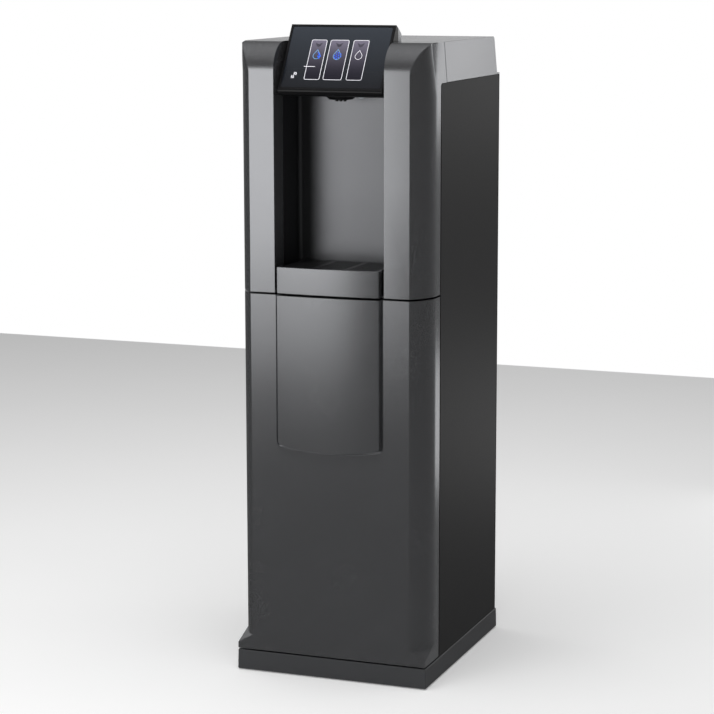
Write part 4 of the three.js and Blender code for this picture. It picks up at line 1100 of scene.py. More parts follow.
def head():
    """The head: its shell, glass, rear cap and chin."""
    half, wall, seam = bezel.x1, 2.5, bezel.y1
    rear = Extent("head_rear_cover")
    slope = (1078.0 - bezel.z1) / (rear.y1 - 71.0)
    seam_z = bezel.z1 + slope * (seam - 71.0)
    outer = prism([(bezel.y0, bezel.z0), (seam, bezel.z0), (seam, seam_z), (71.0, bezel.z1)], "x", -half,
                  half)
    soften(outer, 1.6, 4, 9.0, lambda p: p.y < seam - 1)
    hollow = prism([(bezel.y0 + 6, bezel.z0 - 1), (seam + 1, bezel.z0 - 1), (seam + 1, seam_z - wall - 0.6),
                    (73.6, bezel.z1 - wall - 1.5)], "x", -half + wall, half - wall)
    seat = slanted(glass_outline(0, 3.5), -GLASS_THICK - GLASS_RECESS - 0.3, 3)
    window = slanted(glass_outline(5, 3.5), -9, 3)
    shell = cut(outer, hollow, seat, window)
    piece("head_shell", shell, "head_bezel", replaces=True)

    pane = slanted(glass_outline(0.3, 3.2), -GLASS_THICK - GLASS_RECESS, -GLASS_RECESS)
    piece("head_glass", soften(pane, 0.35, 2, 40.0), "touch_glass", replaces=True)

    top_z, low = seam_z, cover.z1 - 2.5
    seam += 0.3
    cap = prism(rounded([(seam, low), (rear.y1 - 1.5, low), (rear.y1, 1078.0), (seam, top_z - 0.1)],
                        [0, 0, 2.0, 0]), "x", -half, half)
    soften(cap, 1.4, 4, 60.0, lambda p: p.y > seam + 0.5)
    inner = prism([(seam - 1, low + wall), (rear.y1 - 4, low + wall), (rear.y1 - 3.2, 1076.5),
                   (seam - 1, top_z - wall)], "x", -half + wall, half - wall)
    curtain = slab(-half, half, seam, seam + wall, bezel.z0 + 1, low + 1)
    back = cut(join(cut(cap, inner), curtain), rod(6, "y", (0, 0, 1003), seam - 1, seam + wall + 1))
    piece("head_back", back, "head_rear_cover", "body_plastic", replaces=True)

    base = Extent("head_base")
    edge, top, chin = base.x1, base.z1, base.z0
    y0 = base.y0
    under = prism(rounded([(y0, top), (y0, top - 2.7), (y0 + 4.5, chin + 2.5), (y0 + 13.5, chin),
                           (base.y1, chin),
                           (base.y1, top)], [0.3, 1, 3, 4, 0.3, 0.3]), "x", -edge, edge)
    soften(under, 1.0, 3, 60.0)
    room = slab(-edge + wall, edge - wall, y0 + 5, base.y1 - wall, chin + wall, top + 2)
    spout, lamp = Extent("nozzle"), Extent("nozzle_light_lens")
    holes = [rod(10.3, "z", (spout.x, spout.y, 0), chin - 1, top),
             rod(4.3, "z", (lamp.x, lamp.y, 0), chin - 1, top)]
    piece("head_chin", cut(under, room, *holes), "head_base", replaces=True)


def chevron(u, v, half, thickness):
    """A broad arrowhead that points down."""
    fall = half * 0.55
    outline = [(u - half, v), (u - half, v - thickness), (u, v - fall - thickness),
               (u + half, v - thickness),
               (u + half, v), (u, v - fall)]
    return slanted(outline, -GLASS_RECESS - 0.02, -GLASS_RECESS + 0.14)


def drop_outline(size, steps=20):
    """A water drop: a round bowl drawn up to a point."""
    points = []
    for step in range(steps + 1):
        turn = math.radians(-213 + 246 * step / steps)
        points.append((size * math.cos(turn), size * math.sin(turn)))
    return [*points, (0, size * 1.84)]


def drop(u, v, size, line):
    """A ring in the shape of a drop."""
    outer = prism(drop_outline(size), "z", 0.02, 0.12)
    inner = prism(drop_outline(size - line), "z", -0.2, 0.4)
    return moved(cut(outer, inner), ON_SLANT @ Matrix.Translation((u, v, -GLASS_RECESS)))


def dot(u, v, radius):
    """A printed bubble."""
    disc = lathe([(0, 0.02), (radius, 0.02), (radius, 0.12), (0, 0.12)], "z", (0, 0, 0), 20)
    return moved(disc, ON_SLANT @ Matrix.Translation((u, v, -GLASS_RECESS)))


def touch_keys():
    """Three printed touch keys with drop signs: still, lightly sparkling and sparkling."""
    face_top, face_low = 94.0, 19.6
    spans = {"left": (-49.0, -22.0), "middle": (-16.0, 16.6), "right": (24.2, 51.2)}
    line, corner = 0.7, 3.0
    fills, frames, pale, blue, white, dark = [], [], [], [], [], []
    drop_v = 64.2
    bubbles = {
        "left": [(4.4, 2.6, 1.7), (6.2, -1.0, 1.5), (3.0, -1.2, 1.5), (4.6, -4.2, 1.4), (1.8, 5.2, 1.0)],
        "middle": [(-3.6, -3.4, 1.2), (-4.4, 0.6, 1.2), (-0.4, -5.0, 1.2), (-0.8, -1.0, 1.3),
                   (2.9, -3.0, 1.3),
                   (6.4, -0.9, 1.2), (2.7, 1.2, 1.3), (-1.5, 3.2, 1.2), (5.8, 3.4, 1.2), (1.7, 5.6, 1.2),
                   (-1.4, 7.2, 0.8)],
        "right": [],
    }
    for name, (u0, u1) in spans.items():
        outer = rectangle(u0, u1, face_low, face_top, corner)
        inner = rectangle(u0 + line, u1 - line, face_low + line, face_top - line, corner - line)
        fills.append(slanted(rectangle(u0 + line, u1 - line, face_low + line, face_top - line,
                                       corner - line),
                             -GLASS_RECESS - 0.05, -GLASS_RECESS + 0.04))
        frames.append(cut(slanted(outer, -GLASS_RECESS - 0.05, -GLASS_RECESS + 0.09),
                          slanted(inner, -GLASS_RECESS - 0.4, -GLASS_RECESS + 0.5)))
        middle = (u0 + u1) / 2
        for row in range(3):
            dark.append(chevron(middle, face_top - 5.6 - 2.3 * row, 6.0 - 1.1 * row, 0.9))
        if name == "left":
            pale.append(drop(middle, drop_v, 6.4, 0.8))
        elif name == "middle":
            pale.append(drop(middle, drop_v, 7.0, 0.8))
        else:
            white.append(drop(middle, drop_v, 6.2, 0.6))
        blue.extend(dot(middle + du, drop_v + dv, radius) for du, dv, radius in bubbles[name])
    low = [slanted(rectangle(-53.5, -34, 43.5, 44.3), -GLASS_RECESS - 0.05, -GLASS_RECESS + 0.14)]
    for u, v in ((-65.0, 30.0), (-68.5, 24.0)):
        low.append(drop(u, v, 1.9, 0.8))
        low.append(slanted(rectangle(u - 3.2, u - 2.4, v - 2.2, v + 3.4), -GLASS_RECESS - 0.05,
                           -GLASS_RECESS + 0.1))
    piece("key_fills", gathered(fills), "touch_glass", KEY_FACE)
    piece("key_frames", gathered(frames + low), "touch_glass", WHITE_INK)
    piece("key_marks_dark", gathered(dark), "touch_glass", DARK_INK)
    piece("key_drops_pale", gathered(pale), "touch_glass", PALE_INK)
    piece("key_drops_blue", gathered(blue), "touch_glass", BLUE_INK)
    piece("key_drops_white", gathered(white), "touch_glass", WHITE_INK)


def nozzle():
    """The nozzle, its three outlets and the lamp lens beside it."""
    spout = Extent("nozzle")
    radius, low = spout.width / 2, 971.0
    under = Extent("head_base").z0 - 0.3
    centre = (spout.x, spout.y, 0)
    body = lathe([
        (4.5, low + 1.5), (8, low + 1.5), (9, low), (13, low), (16.5, low + 0.5), (19.8, low + 1.7),
        (22.6, low + 3.4),
        (radius - 0.3, under - 1.6), (radius, under - 0.8), (radius - 0.2, under), (10, under), (10, 996),
        (7, 996),
        (7, spout.z1), (4.5, spout.z1), (4.5, low + 1.5),
    ], "z", centre, 96)
    outlets = []
    for x in (-7, 0, 7):
        outlets.append(lathe([
            (1.6, spout.z0), (2.2, spout.z0), (2.6, spout.z0 + 0.5), (2.6, low + 3.5), (1.6, low + 3.5),
            (1.6, spout.z0),
        ], "z", (spout.x + x, spout.y, 0), 32))
    ribs = around(slab(spout.x + 19.4, spout.x + 20.4, spout.y - 0.35, spout.y + 0.35, low + 1.0, low + 3.0,
                       0.1, 1),
                  "z", centre, 48)
    piece("spout", gathered([body, *outlets, ribs]), "nozzle", replaces=True)
    lamp = Extent("nozzle_light_lens")
    lens = lathe([
        (0, lamp.z0), (2.4, lamp.z0 + 0.25), (4.6, lamp.z0 + 0.9), (6.0, lamp.z0 + 2.0), (6.8, under - 1.0),
        (6.8, under), (4, under), (4, lamp.z1), (0, lamp.z1),
    ], "z", (lamp.x, lamp.y, 0), 48)
    piece("lens", lens, "nozzle_light_lens", replaces=True)


plinth()
for corner in ("front_left", "front_right", "rear_left", "rear_right"):
    foot(corner)
side_panel("left")
side_panel("right")
rear_panel()
top_cover()
front_fascia()
alcove_liner()
door_shell()
apron_panel()
tray_front()
drip_tray()
head()
touch_keys()
nozzle()

# ---------------------------------------------------------------- behind the door
def door_inside():
    """The liner moulding with two raised fields and its screws."""
    liner = Extent("door_liner")
    face = liner.y1
    fields = []
    for z0, z1 in ((liner.z0 + 24, liner.z - 12), (liner.z + 12, liner.z1 - 24)):
        fields.append(soften(prism(rectangle(liner.x0 + 24, liner.x1 - 34, z0, z1, 14), "y", face - 1,
                                   face + 1.4), 1.2,
                             3, 50))
    refined("door_liner", 1.5, 3, extras=fields)
    spots = [(x, z) for x in (liner.x0 + 10, liner.x1 - 24)
             for z in (liner.z0 + 10, liner.z - 90, liner.z + 90,
                                                                     liner.z1 - 10)]
    screws = [screw(x, face, z, "y", 3.0, 1.5) for x, z in spots]
    piece("door_liner_screws", gathered(screws), "door_liner", "zinc_steel")
    strike = Extent("strike_plate")
    screws = [screw(strike.x, strike.y1, z, "y", 2.6, 0.4) for z in (strike.z0 + 8, strike.z1 - 8)]
    refined("strike_plate", 0.3, extras=screws)
    catch = Extent("magnet_catch")
    poles = [slab(catch.x0 + 1.2, catch.x0 + 2.6, catch.y0 - 0.1, catch.y0 + 3, catch.z0 + 6, catch.z1 - 6,
                  0.2, 1),
             slab(catch.x1 - 2.6, catch.x1 - 1.2, catch.y0 - 0.1, catch.y0 + 3, catch.z0 + 6, catch.z1 - 6,
                  0.2, 1)]
    refined("magnet_catch", 0.8)
    piece("catch_poles", gathered(poles), "magnet_catch", "zinc_steel")


def frame_screws():
    """The door frame and its screws."""
    rail = Extent("door_frame")
    mid = rail.x0 + 8
    spots = [(side * mid, z) for side in (-1, 1) for z in (rail.z0 + 40, rail.z + 90, rail.z1 - 40)]
    screws = [screw(x, rail.y0 + 11, z, "y", 3.0, 1.5, -1) for x, z in spots]
    refined("door_frame", 0.5)
    piece("frame_screws", gathered(screws), "door_frame", "zinc_steel")


def hinge(place):
    """A hinge bracket with its pin."""
    node = "hinge_bracket_" + place
    bracket = Extent(node)
    screws = [screw(bracket.x1 - 5, bracket.y0 + 16 + 9 * i, bracket.z1 - 1.0, "z", 2.4, 1.0)
              for i in range(2)]
    refined(node, 0.5, extras=screws if place == "bottom" else ())


# ---------------------------------------------------------------- gas supply
def gas_bottle():
    """The gas bottle with its shoulder, foot ring, label and band."""
    bottle = Extent("gas_cylinder")
    centre, radius, low = (bottle.x, bottle.y, 0), bottle.width / 2, bottle.z0
    shoulder, neck = bottle.z1 - 36, 14.0
    curve = [(neck + (radius - neck) * math.cos(turn), shoulder + 28 * math.sin(turn))
             for turn in roll_turns(14)]
    profile = [(0, low + 7), (18, low + 6), (27, low + 2.5), (31, low), (34, low), (37, low + 3),
               (radius, low + 9),
               *curve, (neck, bottle.z1 - 6), (16, bottle.z1 - 5), (16, bottle.z1 - 1), (neck, bottle.z1),
               (0, bottle.z1)]
    piece("gas_bottle", lathe(profile, "z", centre, 96), "gas_cylinder", replaces=True)
    for name, z0, z1, finish in (("bottle_label", 300, 366, "white_plastic"),
                                 ("bottle_band", 186, 194, "aluminium")):
        skin = lathe([(radius - 0.05, z0), (radius + 0.12, z0), (radius + 0.12, z1), (radius - 0.05, z1),
                      (radius - 0.05, z0)], "z", centre, 96)
        piece(name, skin, "gas_cylinder", finish)


def bottle_strap():
    """The strap that holds the bottle, with its buckle."""
    strap = Extent("cylinder_strap")
    bottle = Extent("gas_cylinder")
    middle = strap.z
    buckle = slab(bottle.x - 9, bottle.x + 9, strap.y0 - 0.2, strap.y0 + 3, middle - 9, middle + 9, 0.8, 2)
    refined("cylinder_strap", 0.8)
    piece("strap_buckle", buckle, "cylinder_strap", "black_plastic")


def bottle_valve():
    """The bottle's valve: hexagon, body, threaded outlet and plug."""
    valve, bottle = Extent("gas_valve"), Extent("gas_cylinder")
    x, y, low, high = bottle.x, bottle.y, valve.z0, valve.z1
    hexagon = soften(lathe([(0, low), (14, low), (14, low + 13), (0, low + 13)], "z", (x, y, 0), 6), 0.8, 2,
                     30)
    body = lathe([(0, low + 12), (10, low + 12), (11, low + 14), (11, high - 9), (9.5, high - 8),
                  (9.5, high - 6),
                  (8, high - 5), (8, high), (0, high)], "z", (x, y, 0), 48)
    outlet_z = Extent("regulator_knob").z
    ridges = [(0, valve.x0), (6.2, valve.x0)]
    ridges += [(6.2 + 0.7 * (i % 2), valve.x0 + 1 + 0.8 * i) for i in range(13)]
    outlet = lathe([*ridges, (7, valve.x0 + 13), (7, x), (0, x)], "x", (0, y, outlet_z), 40)
    plug = soften(lathe([(0, x + 9), (5, x + 9), (5, valve.x1), (0, valve.x1)], "x", (0, y, outlet_z), 6),
                  0.4, 2, 30)
    piece("valve_body", gathered([hexagon, body, outlet, plug]), "gas_valve", replaces=True)


def valve_wheel():
    """The valve's handwheel."""
    wheel = Extent("gas_handwheel")
    x, y, low = wheel.x, wheel.y, wheel.z0
    reach = wheel.width / 2
    oval = [(math.cos(math.radians(20 * i)), math.sin(math.radians(20 * i))) for i in range(19)]
    middle = low + 9
    rim = lathe([(reach - 3.2 + 2.4 * a, middle + 4.6 * b) for a, b in oval], "z", (x, y, 0), 72)
    grips = around(rod(1.5, "z", (x + reach - 1.5, y, 0), low + 5.5, low + 12.5, 0.6, 12), "z", (x, y, 0),
                   24)
    spokes = around(slab(x + 4, x + reach - 3, y - 2.2, y + 2.2, low + 6, low + 11, 1.5, 3), "z", (x, y, 0),
                    4)
    hub = lathe([(0, low), (5.2, low), (6, low + 1), (6, low + 12), (5, low + 13.6), (3, low + 14),
                 (3, low + 12.4),
                 (0, low + 12.4)], "z", (x, y, 0), 40)
    piece("wheel", gathered([rim, grips, spokes, hub]), "gas_handwheel", replaces=True)


def regulator():
    """The regulator body and its adjusting cap."""
    knob, dial = Extent("regulator_knob"), Extent("pressure_gauge")
    y, z = knob.y, knob.z
    left, right = knob.x1 + 0.3, Extent("gas_valve").x0 - 0.3
    middle = dial.x
    body = lathe([(0, left), (12, left), (13, left + 1), (13, left + 5), (17, left + 9), (17, right - 13),
                  (15.5, right - 11), (10, right - 10), (0, right - 10)], "x", (0, y, z), 64)
    nut = soften(lathe([(0, right - 11), (11.2, right - 11), (11.2, right), (0, right)], "x", (0, y, z), 6),
                 0.8, 2, 30)
    stem = rod(5, "y", (middle, 0, z), dial.y1 + 0.3, y - 8)
    stem_nut = soften(lathe([(0, dial.y1 + 1), (7, dial.y1 + 1), (7, dial.y1 + 7), (0, dial.y1 + 7)], "y",
                            (middle, 0, z), 6), 0.5, 2, 30)
    top = Extent("regulator_body").z1
    outlet = lathe([(0, z + 10), (7, z + 10), (7, z + 18), (5, z + 19), (5, top - 1), (4.4, top), (0, top)],
                   "z",
                   (middle, y, 0), 32)
    piece("regulator", gathered([body, nut, stem, stem_nut, outlet]), "regulator_body", replaces=True)

    x0, x1, radius = knob.x0, knob.x1, knob.height / 2
    cap = lathe([(0, x0), (radius - 3, x0), (radius - 1, x0 + 1.2), (radius - 1, x1 - 4),
                 (radius - 3, x1 - 1),
                 (5, x1 - 1), (5, x1), (0, x1)], "x", (0, y, z), 64)
    grips = around(slab(x0 + 1.5, x1 - 4, y - 1.0, y + 1.0, z + radius - 1.4, z + radius, 0.4, 2), "x",
                   (0, y, z), 20)
    piece("regulator_cap", gathered([cap, grips]), "regulator_knob", replaces=True)


def gauge():
    """A round gauge with a white dial, marks and a red hand behind a clear window."""
    size = Extent("pressure_gauge")
    x, z, back, front = size.x, size.z, size.y1, size.y0
    radius = size.width / 2
    centre = (x, 0, z)
    case = lathe([(0, back), (radius - 3, back), (radius - 0.6, back - 2), (radius - 0.6, front + 3),
                  (radius, front + 2.4), (radius, front + 0.5), (radius - 0.6, front),
                  (radius - 2.2, front),
                  (radius - 2.6, front + 3.4), (0, front + 3.4)], "y", centre, 80)
    piece("gauge_case", case, "pressure_gauge", replaces=True)
    face = front + 3.2
    piece("gauge_dial", rod(radius - 2.8, "y", centre, face, face + 0.8, 0.05, 64), "pressure_gauge",
          "white_plastic")
    marks = []
    for step in range(25):
        length = 3.2 if step % 4 == 0 else 1.8
        mark = slab(x - 0.25, x + 0.25, face - 0.08, face + 0.1, z + radius - 4.4 - length,
                    z + radius - 4.4)
        marks.append(moved(mark, turned_about("y", (x, 0, z), math.radians(-135 + 270 * step / 24))))
    piece("gauge_marks", gathered(marks), "pressure_gauge", DARK_INK)
    hand = gathered([slab(x - 0.5, x + 0.5, face - 0.9, face - 0.5, z - 4, z + radius - 6.5, 0.15, 1),
                     rod(2.0, "y", centre, face - 1.1, face, 0.3, 24)])
    piece("gauge_hand", moved(hand, turned_about("y", (x, 0, z), math.radians(-62))), "pressure_gauge",
          RED_INK)
    window = rod(radius - 2.4, "y", centre, front + 0.7, front + 1.4, 0.1, 64)
    piece("gauge_window", window, "pressure_gauge", "clear_plastic")


# ---------------------------------------------------------------- water treatment and waste
def filter_set():
    """The filter bowl and its head."""
    size = Extent("filter_cartridge")
    centre, radius, low = (size.x, size.y, 0), size.width / 2, size.z0
    top = size.z1 - 14
    neck = 15.0
    bowl = [(radius * math.sin(turn), low + 16 * (1 - math.cos(turn))) for turn in roll_turns(10)]
    rings = []
    for step in range(5):
        z = top - 52 + 7 * step
        rings += [(radius, z), (radius - 0.9, z + 0.8), (radius - 0.9, z + 2.6), (radius, z + 3.4)]
    shape = lathe([*bowl, *rings, (radius, top - 14), (radius - 3, top - 8), (radius - 11, top - 1),
                   (neck + 2, top),
                   (neck, top), (neck, top + 3), (neck - 1.4, top + 3.4), (neck - 1.4, top + 5.6),
                   (neck, top + 6),
                   (neck, size.z1 - 1), (neck - 1, size.z1), (0, size.z1)], "z", centre, 96)
    grips = around(slab(size.x + radius - 1.2, size.x + radius, size.y - 1.2, size.y + 1.2, low + 20,
                        low + 44, 0.5, 2),
                   "z", centre, 30)
    piece("filter_bowl", gathered([shape, grips]), "filter_cartridge", replaces=True)
    for name, z0, z1 in (("filter_band", low + 70, low + 82), ("filter_band_upper", low + 150, low + 154)):
        ring = lathe([(radius - 0.05, z0), (radius + 0.12, z0), (radius + 0.12, z1), (radius - 0.05, z1),
                      (radius - 0.05, z0)], "z", centre, 96)
        piece(name, ring, "filter_cartridge", "blue_plastic")
    cap = Extent("filter_head")
    bolts = [screw(size.x + dx, cap.y0, cap.z0 + 20, "y", 3.0, 1.4, -1) for dx in (-22, 22)]
    refined("filter_head", 2.0, 3)
    piece("filter_head_screws", gathered(bolts), "filter_head", "zinc_steel")


def waste_tank():
    """The waste tank, with its rim, level ribs and the bar that guides the float."""
    tank = Extent("waste_tank")
    wall, lip = 2.5, 8.0
    x0, x1, y0, y1, z0, z1 = tank.x0, tank.x1, tank.y0, tank.y1, tank.z0, tank.z1
    body = prism(rectangle(x0 + 2, x1 - 2, y0 + 2, y1 - 2, 14, 8), "z", z0, z1 - lip + 1)
    soften(body, 3.0, 3, 60.0, lambda p: p.z < z0 + 1)
    rim = soften(prism(rectangle(x0, x1, y0, y1, 16, 8), "z", z1 - lip, z1), 1.2, 3, 60.0)
    room = prism(rectangle(x0 + 2 + wall, x1 - 2 - wall, y0 + 2 + wall, y1 - 2 - wall, 12, 8), "z",
                 z0 + wall, z1 + 5)
    shell = cut(join(body, rim), room)
    stem = Extent("waste_float")
    bar = slab(stem.x - 8, stem.x + 8, y0 + 3.5, y1 - 3.5, z1 - 4, z1 - 0.2, 0.5, 2)
    bar = cut(bar, rod(3, "z", (stem.x, stem.y, 0), z1 - 8, z1 + 3))
    ribs = [slab(x0 + 36, x0 + 36 + (16 if step % 2 else 10), y0 + 1.3, y0 + 2.4, z0 + 30 + 24 * step,
                 z0 + 31.6 + 24 * step,
                 0.3, 1) for step in range(9)]
    grip = soften(prism(rectangle(x1 - 96, x1 - 36, z1 - 40, z1 - 22, 8), "y", y0 + 1.0, y0 + 2.4), 0.6, 2,
                  50)
    piece("tank", gathered([shell, bar, *ribs, grip]), "waste_tank", replaces=True)


# ---------------------------------------------------------------- cooling circuit
SUCTION_X, SUCTION_Y = 66, 275


def compressor():
    """The welded compressor pot on its pads, with its stubs and terminal cover."""
    size = Extent("compressor")
    x, y, top, base = size.x, size.y, size.z1, size.z0
    low = base + 7.4
    seam = low + 66
    shell = lathe([(0, low), (30, low), (44, low + 4), (53, low + 13), (57, low + 30), (57, seam - 4),
                   (58, seam - 3),
                   (58, seam + 3), (57, seam + 4), (57, top - 50), (54, top - 30), (46.5, top - 15),
                   (33, top - 5.5),
                   (16, top - 1), (0, top)], "z", (x, y, 0), 96)
    feet_plate = slab(size.x0, size.x1, size.y0, size.y1, base + 0.2, base + 4.2, 1.2, 2)
    legs = around(rod(7, "z", (x + 30, y + 30, 0), base + 3, low + 12, 0.5, 24), "z", (x, y, 0), 4)
    piece("compressor_pot", gathered([shell, feet_plate, legs]), "compressor", replaces=True)
    pads = around(lathe([(0, base + 4), (9, base + 4), (9, base + 7), (7, base + 8.5), (9, base + 10),
                         (9, base + 12),
                         (0, base + 12)], "z", (x + 50, y + 48, 0), 24), "z", (x, y, 0), 4)
    piece("compressor_pads", pads, "compressor", "rubber")
    cover_box = soften(slab(size.x0 + 0.5, x - 40, y - 20, y + 20, low + 46, low + 96), 3.0, 3, 40)
    piece("terminal_cover", cover_box, "compressor", "black_plastic")
    stubs = [rod(4.6, "z", (SUCTION_X, SUCTION_Y, 0), top - 14, top - 1.0, 0.6, 24),
             rod(3.2, "z", (x + 34, y + 22, 0), top - 30, top - 3, 0.6, 20),
             rod(4.6, "z", (x + 8, y - 44, 0), top - 30, top - 6, 0.6, 20)]
    piece("compressor_stubs", gathered(stubs), "compressor", "copper")


def condenser():
    """Aluminium fins on a copper serpentine, with the bends standing out at both ends."""
    size = Extent("condenser")
    rows, reach, bore = 6, 6.5, 3.2
    left, right = size.x0 + 10.5, size.x1 - 10.5
    fins = []
    count = 44
    for step in range(count):
        x = left + 1.5 + (right - left - 3) * step / (count - 1)
        fins.append(slab(x - 0.2, x + 0.2, size.y0 + 0.6, size.y1 - 0.6, size.z0 + 1, size.z1 - 1))
    plates = [slab(x - 0.8, x + 0.8, size.y0, size.y1, size.z0, size.z1, 0.3, 1) for x in (left, right)]
    piece("condenser_fins", gathered(fins + plates), "condenser", replaces=True)
    tubes = []
    pitch = size.height / rows
    heights = [size.z0 + pitch * (row + 0.5) for row in range(rows)]
    for y in (size.y - 7, size.y + 7):
        for row, z in enumerate(heights):
            tubes.append(rod(bore, "x", (0, y, z), left - 2, right + 2, 0.1, 16))
            if row + 1 < rows:
                out = -1 if row % 2 else 1
                end = left - 2 if row % 2 else right + 2
                middle = z + pitch / 2
                turn = [(end, y, z), (end + out * reach * 0.72, y, z + pitch * 0.16),
                        (end + out * (reach - 1.6), y, middle),
                        (end + out * reach * 0.72, y, z + pitch * 0.84), (end, y, z + pitch)]
                tubes.append(hose(turn, bore, 16, 6))
    piece("condenser_coil", gathered(tubes), "condenser", "copper")


def fan():
    """The fan wheel, its shroud and the wire guard."""
    rotor, shroud = Extent("fan_rotor"), Extent("fan_shroud")
    x, z = shroud.x, shroud.z
    front, back = rotor.y0, rotor.y1
    hub, tip, count = 20.0, 65.5, 7
    core = lathe([(0, front + 1), (hub - 5, front + 1), (hub - 1.5, front + 1.8), (hub, front + 4),
                  (hub, back),
                  (hub - 2, back), (hub - 2, front + 5), (0, front + 5)], "y", (x, 0, z), 64)
    sections = []
    for step in range(7):
        share = step / 6
        radius = hub - 2 + (tip - hub + 2) * share
        pitch = math.radians(40 - 16 * share)
        chord = (back - front - 1.4) / math.sin(pitch)
        sweep = 0.10 * share
        section = []
        for s, thick in ((-0.5, 0.15), (-0.25, 0.8), (0.0, 1.0), (0.25, 0.7), (0.5, 0.12)):
            section.append((s, 0.8 * thick))
        outline = section + [(s, -depth) for s, depth in reversed(section)]
        ring = []
        for s, offset in outline:
            along = s * chord
            tangent = along * math.cos(pitch) - offset * math.sin(pitch)
            depth = along * math.sin(pitch) + offset * math.cos(pitch) + 1.2 * (0.25 - s * s) * 4 - 0.6
            turn = tangent / radius + sweep
            ring.append(Vector((x + radius * math.cos(turn), (front + back) / 2 + depth,
                                z + radius * math.sin(turn))))
        sections.append(ring)
    blades = around(loft(sections), "y", (x, 0, z), count)
    piece("fan_wheel", gathered([core, blades]), "fan_rotor", replaces=True)
    wires = []
    circle = [(math.cos(math.radians(45 * i)), math.sin(math.radians(45 * i))) for i in range(9)]
    for radius in (24, 36, 48, 60, 71):
        wires.append(lathe([(radius + a, shroud.y0 - 1.0 + b) for a, b in circle], "y", (x, 0, z), 72))
    bars = around(rod(1.2, "z", (x, shroud.y0 - 1.0, 0), z + 22, z + 74, 0.2, 10), "y", (x, 0, z), 4)
    bolts = [screw(x + dx, shroud.y0, z + dz, "y", 3.4, 1.8, -1) for dx in (-70, 70) for dz in (-70, 70)]
    refined("fan_shroud", 1.0)
    piece("fan_guard", gathered([*wires, bars, *bolts]), "fan_shroud", "zinc_steel")


def tank_insulation():
    """The insulated cold tank with its straps and lid."""
    size = Extent("cold_tank")
    corner = 12.0

    def chamfered(grow):
        x0, x1, y0, y1 = size.x0 - grow, size.x1 + grow, size.y0 - grow, size.y1 + grow
        return [(x0 + corner, y0), (x1 - corner, y0), (x1, y0 + corner), (x1, y1 - corner),
                (x1 - corner, y1),
                (x0 + corner, y1), (x0, y1 - corner), (x0, y0 + corner)]

    refined("cold_tank", 3.0, 3)
    straps = []
    for z in (size.z0 + 60, size.z1 - 60):
        straps.append(cut(prism(chamfered(0.9), "z", z - 7, z + 7),
                          prism(chamfered(0.1), "z", z - 9, z + 9)))
    buckles = [slab(size.x - 40, size.x - 16, size.y0 - 3, size.y0 - 0.5, z - 9, z + 9, 0.6, 2)
               for z in (size.z0 + 60, size.z1 - 60)]
    piece("tank_straps", gathered(straps + buckles), "cold_tank", "zinc_steel")
    lid = Extent("cold_tank_lid")
    rim = [slab(lid.x0 + 16, lid.x1 - 16, lid.y0 + 16, lid.y1 - 16, lid.z0 + 11, lid.z0 + 13, 0.8, 2)]
    refined("cold_tank_lid", 1.4, 3, extras=rim)


def carbonator():
    """The domed carbonator vessel with its ports."""
    size = Extent("carbonator")
    centre, radius = (size.x, size.y, 0), size.width / 2
    low, high = size.z0, size.z1 - 18
    dome = [(radius * math.cos(turn), high - 20 + 20 * math.sin(turn)) for turn in roll_turns(12)]
    bowl = [(r, low + high - z) for r, z in reversed(dome)]
    seam = [(radius, low + 22), (radius + 0.0, low + 23), (radius - 0.8, low + 24),
            (radius - 0.8, high - 24),
            (radius, high - 23), (radius, high - 22)]
    shell = lathe([*bowl, *seam, *dome], "z", centre, 96)
    ports = [rod(6, "z", centre, high - 3, size.z1, 0.8, 32)]
    ports += [rod(4.5, "z", (size.x + 20 * math.cos(t), size.y + 20 * math.sin(t), 0), high - 8, high + 9,
                  0.6, 24)
              for t in (0.6, 2.7, 4.8)]
    nut = soften(lathe([(0, high - 1), (9, high - 1), (9, high + 6), (0, high + 6)], "z", centre, 6), 0.6,
                 2, 30)
    piece("carbonator_vessel", gathered([shell, *ports, nut]), "carbonator", replaces=True)


def valves():
    """The manifold with three solenoid valves."""
    size = Extent("valve_block")
    low, top = size.z0, size.z1
    body = slab(size.x0, size.x1, size.y0 + 6, size.y1 - 6, low, low + 30, 1.5, 3)
    ports = [rod(5.5, "y", (x, 0, low + 15), size.y0 + 1, size.y1 - 1, 0.6, 24) for x in (-30, 0, 30)]
    piece("manifold", gathered([body, *ports]), "valve_block", replaces=True)
    coils = [slab(x - 11, x + 11, size.y0, size.y1, low + 29, top - 6, 2.5, 3) for x in (-30, 0, 30)]
    tabs = [slab(x + dx - 0.4, x + dx + 0.4, size.y - 3, size.y + 3, top - 8, top - 1, 0.1, 1)
            for x in (-30, 0, 30)
            for dx in (-5, 5)]
    piece("valve_coils", gathered(coils), "valve_block", "black_plastic")
    nuts = [soften(lathe([(0, top - 7), (6, top - 7), (6, top - 2), (0, top - 2)], "z", (x, size.y - 12, 0),
                         6), 0.5, 2,
                   30) for x in (-30, 0, 30)]
    piece("valve_tabs", gathered(tabs + nuts), "valve_block", "zinc_steel")


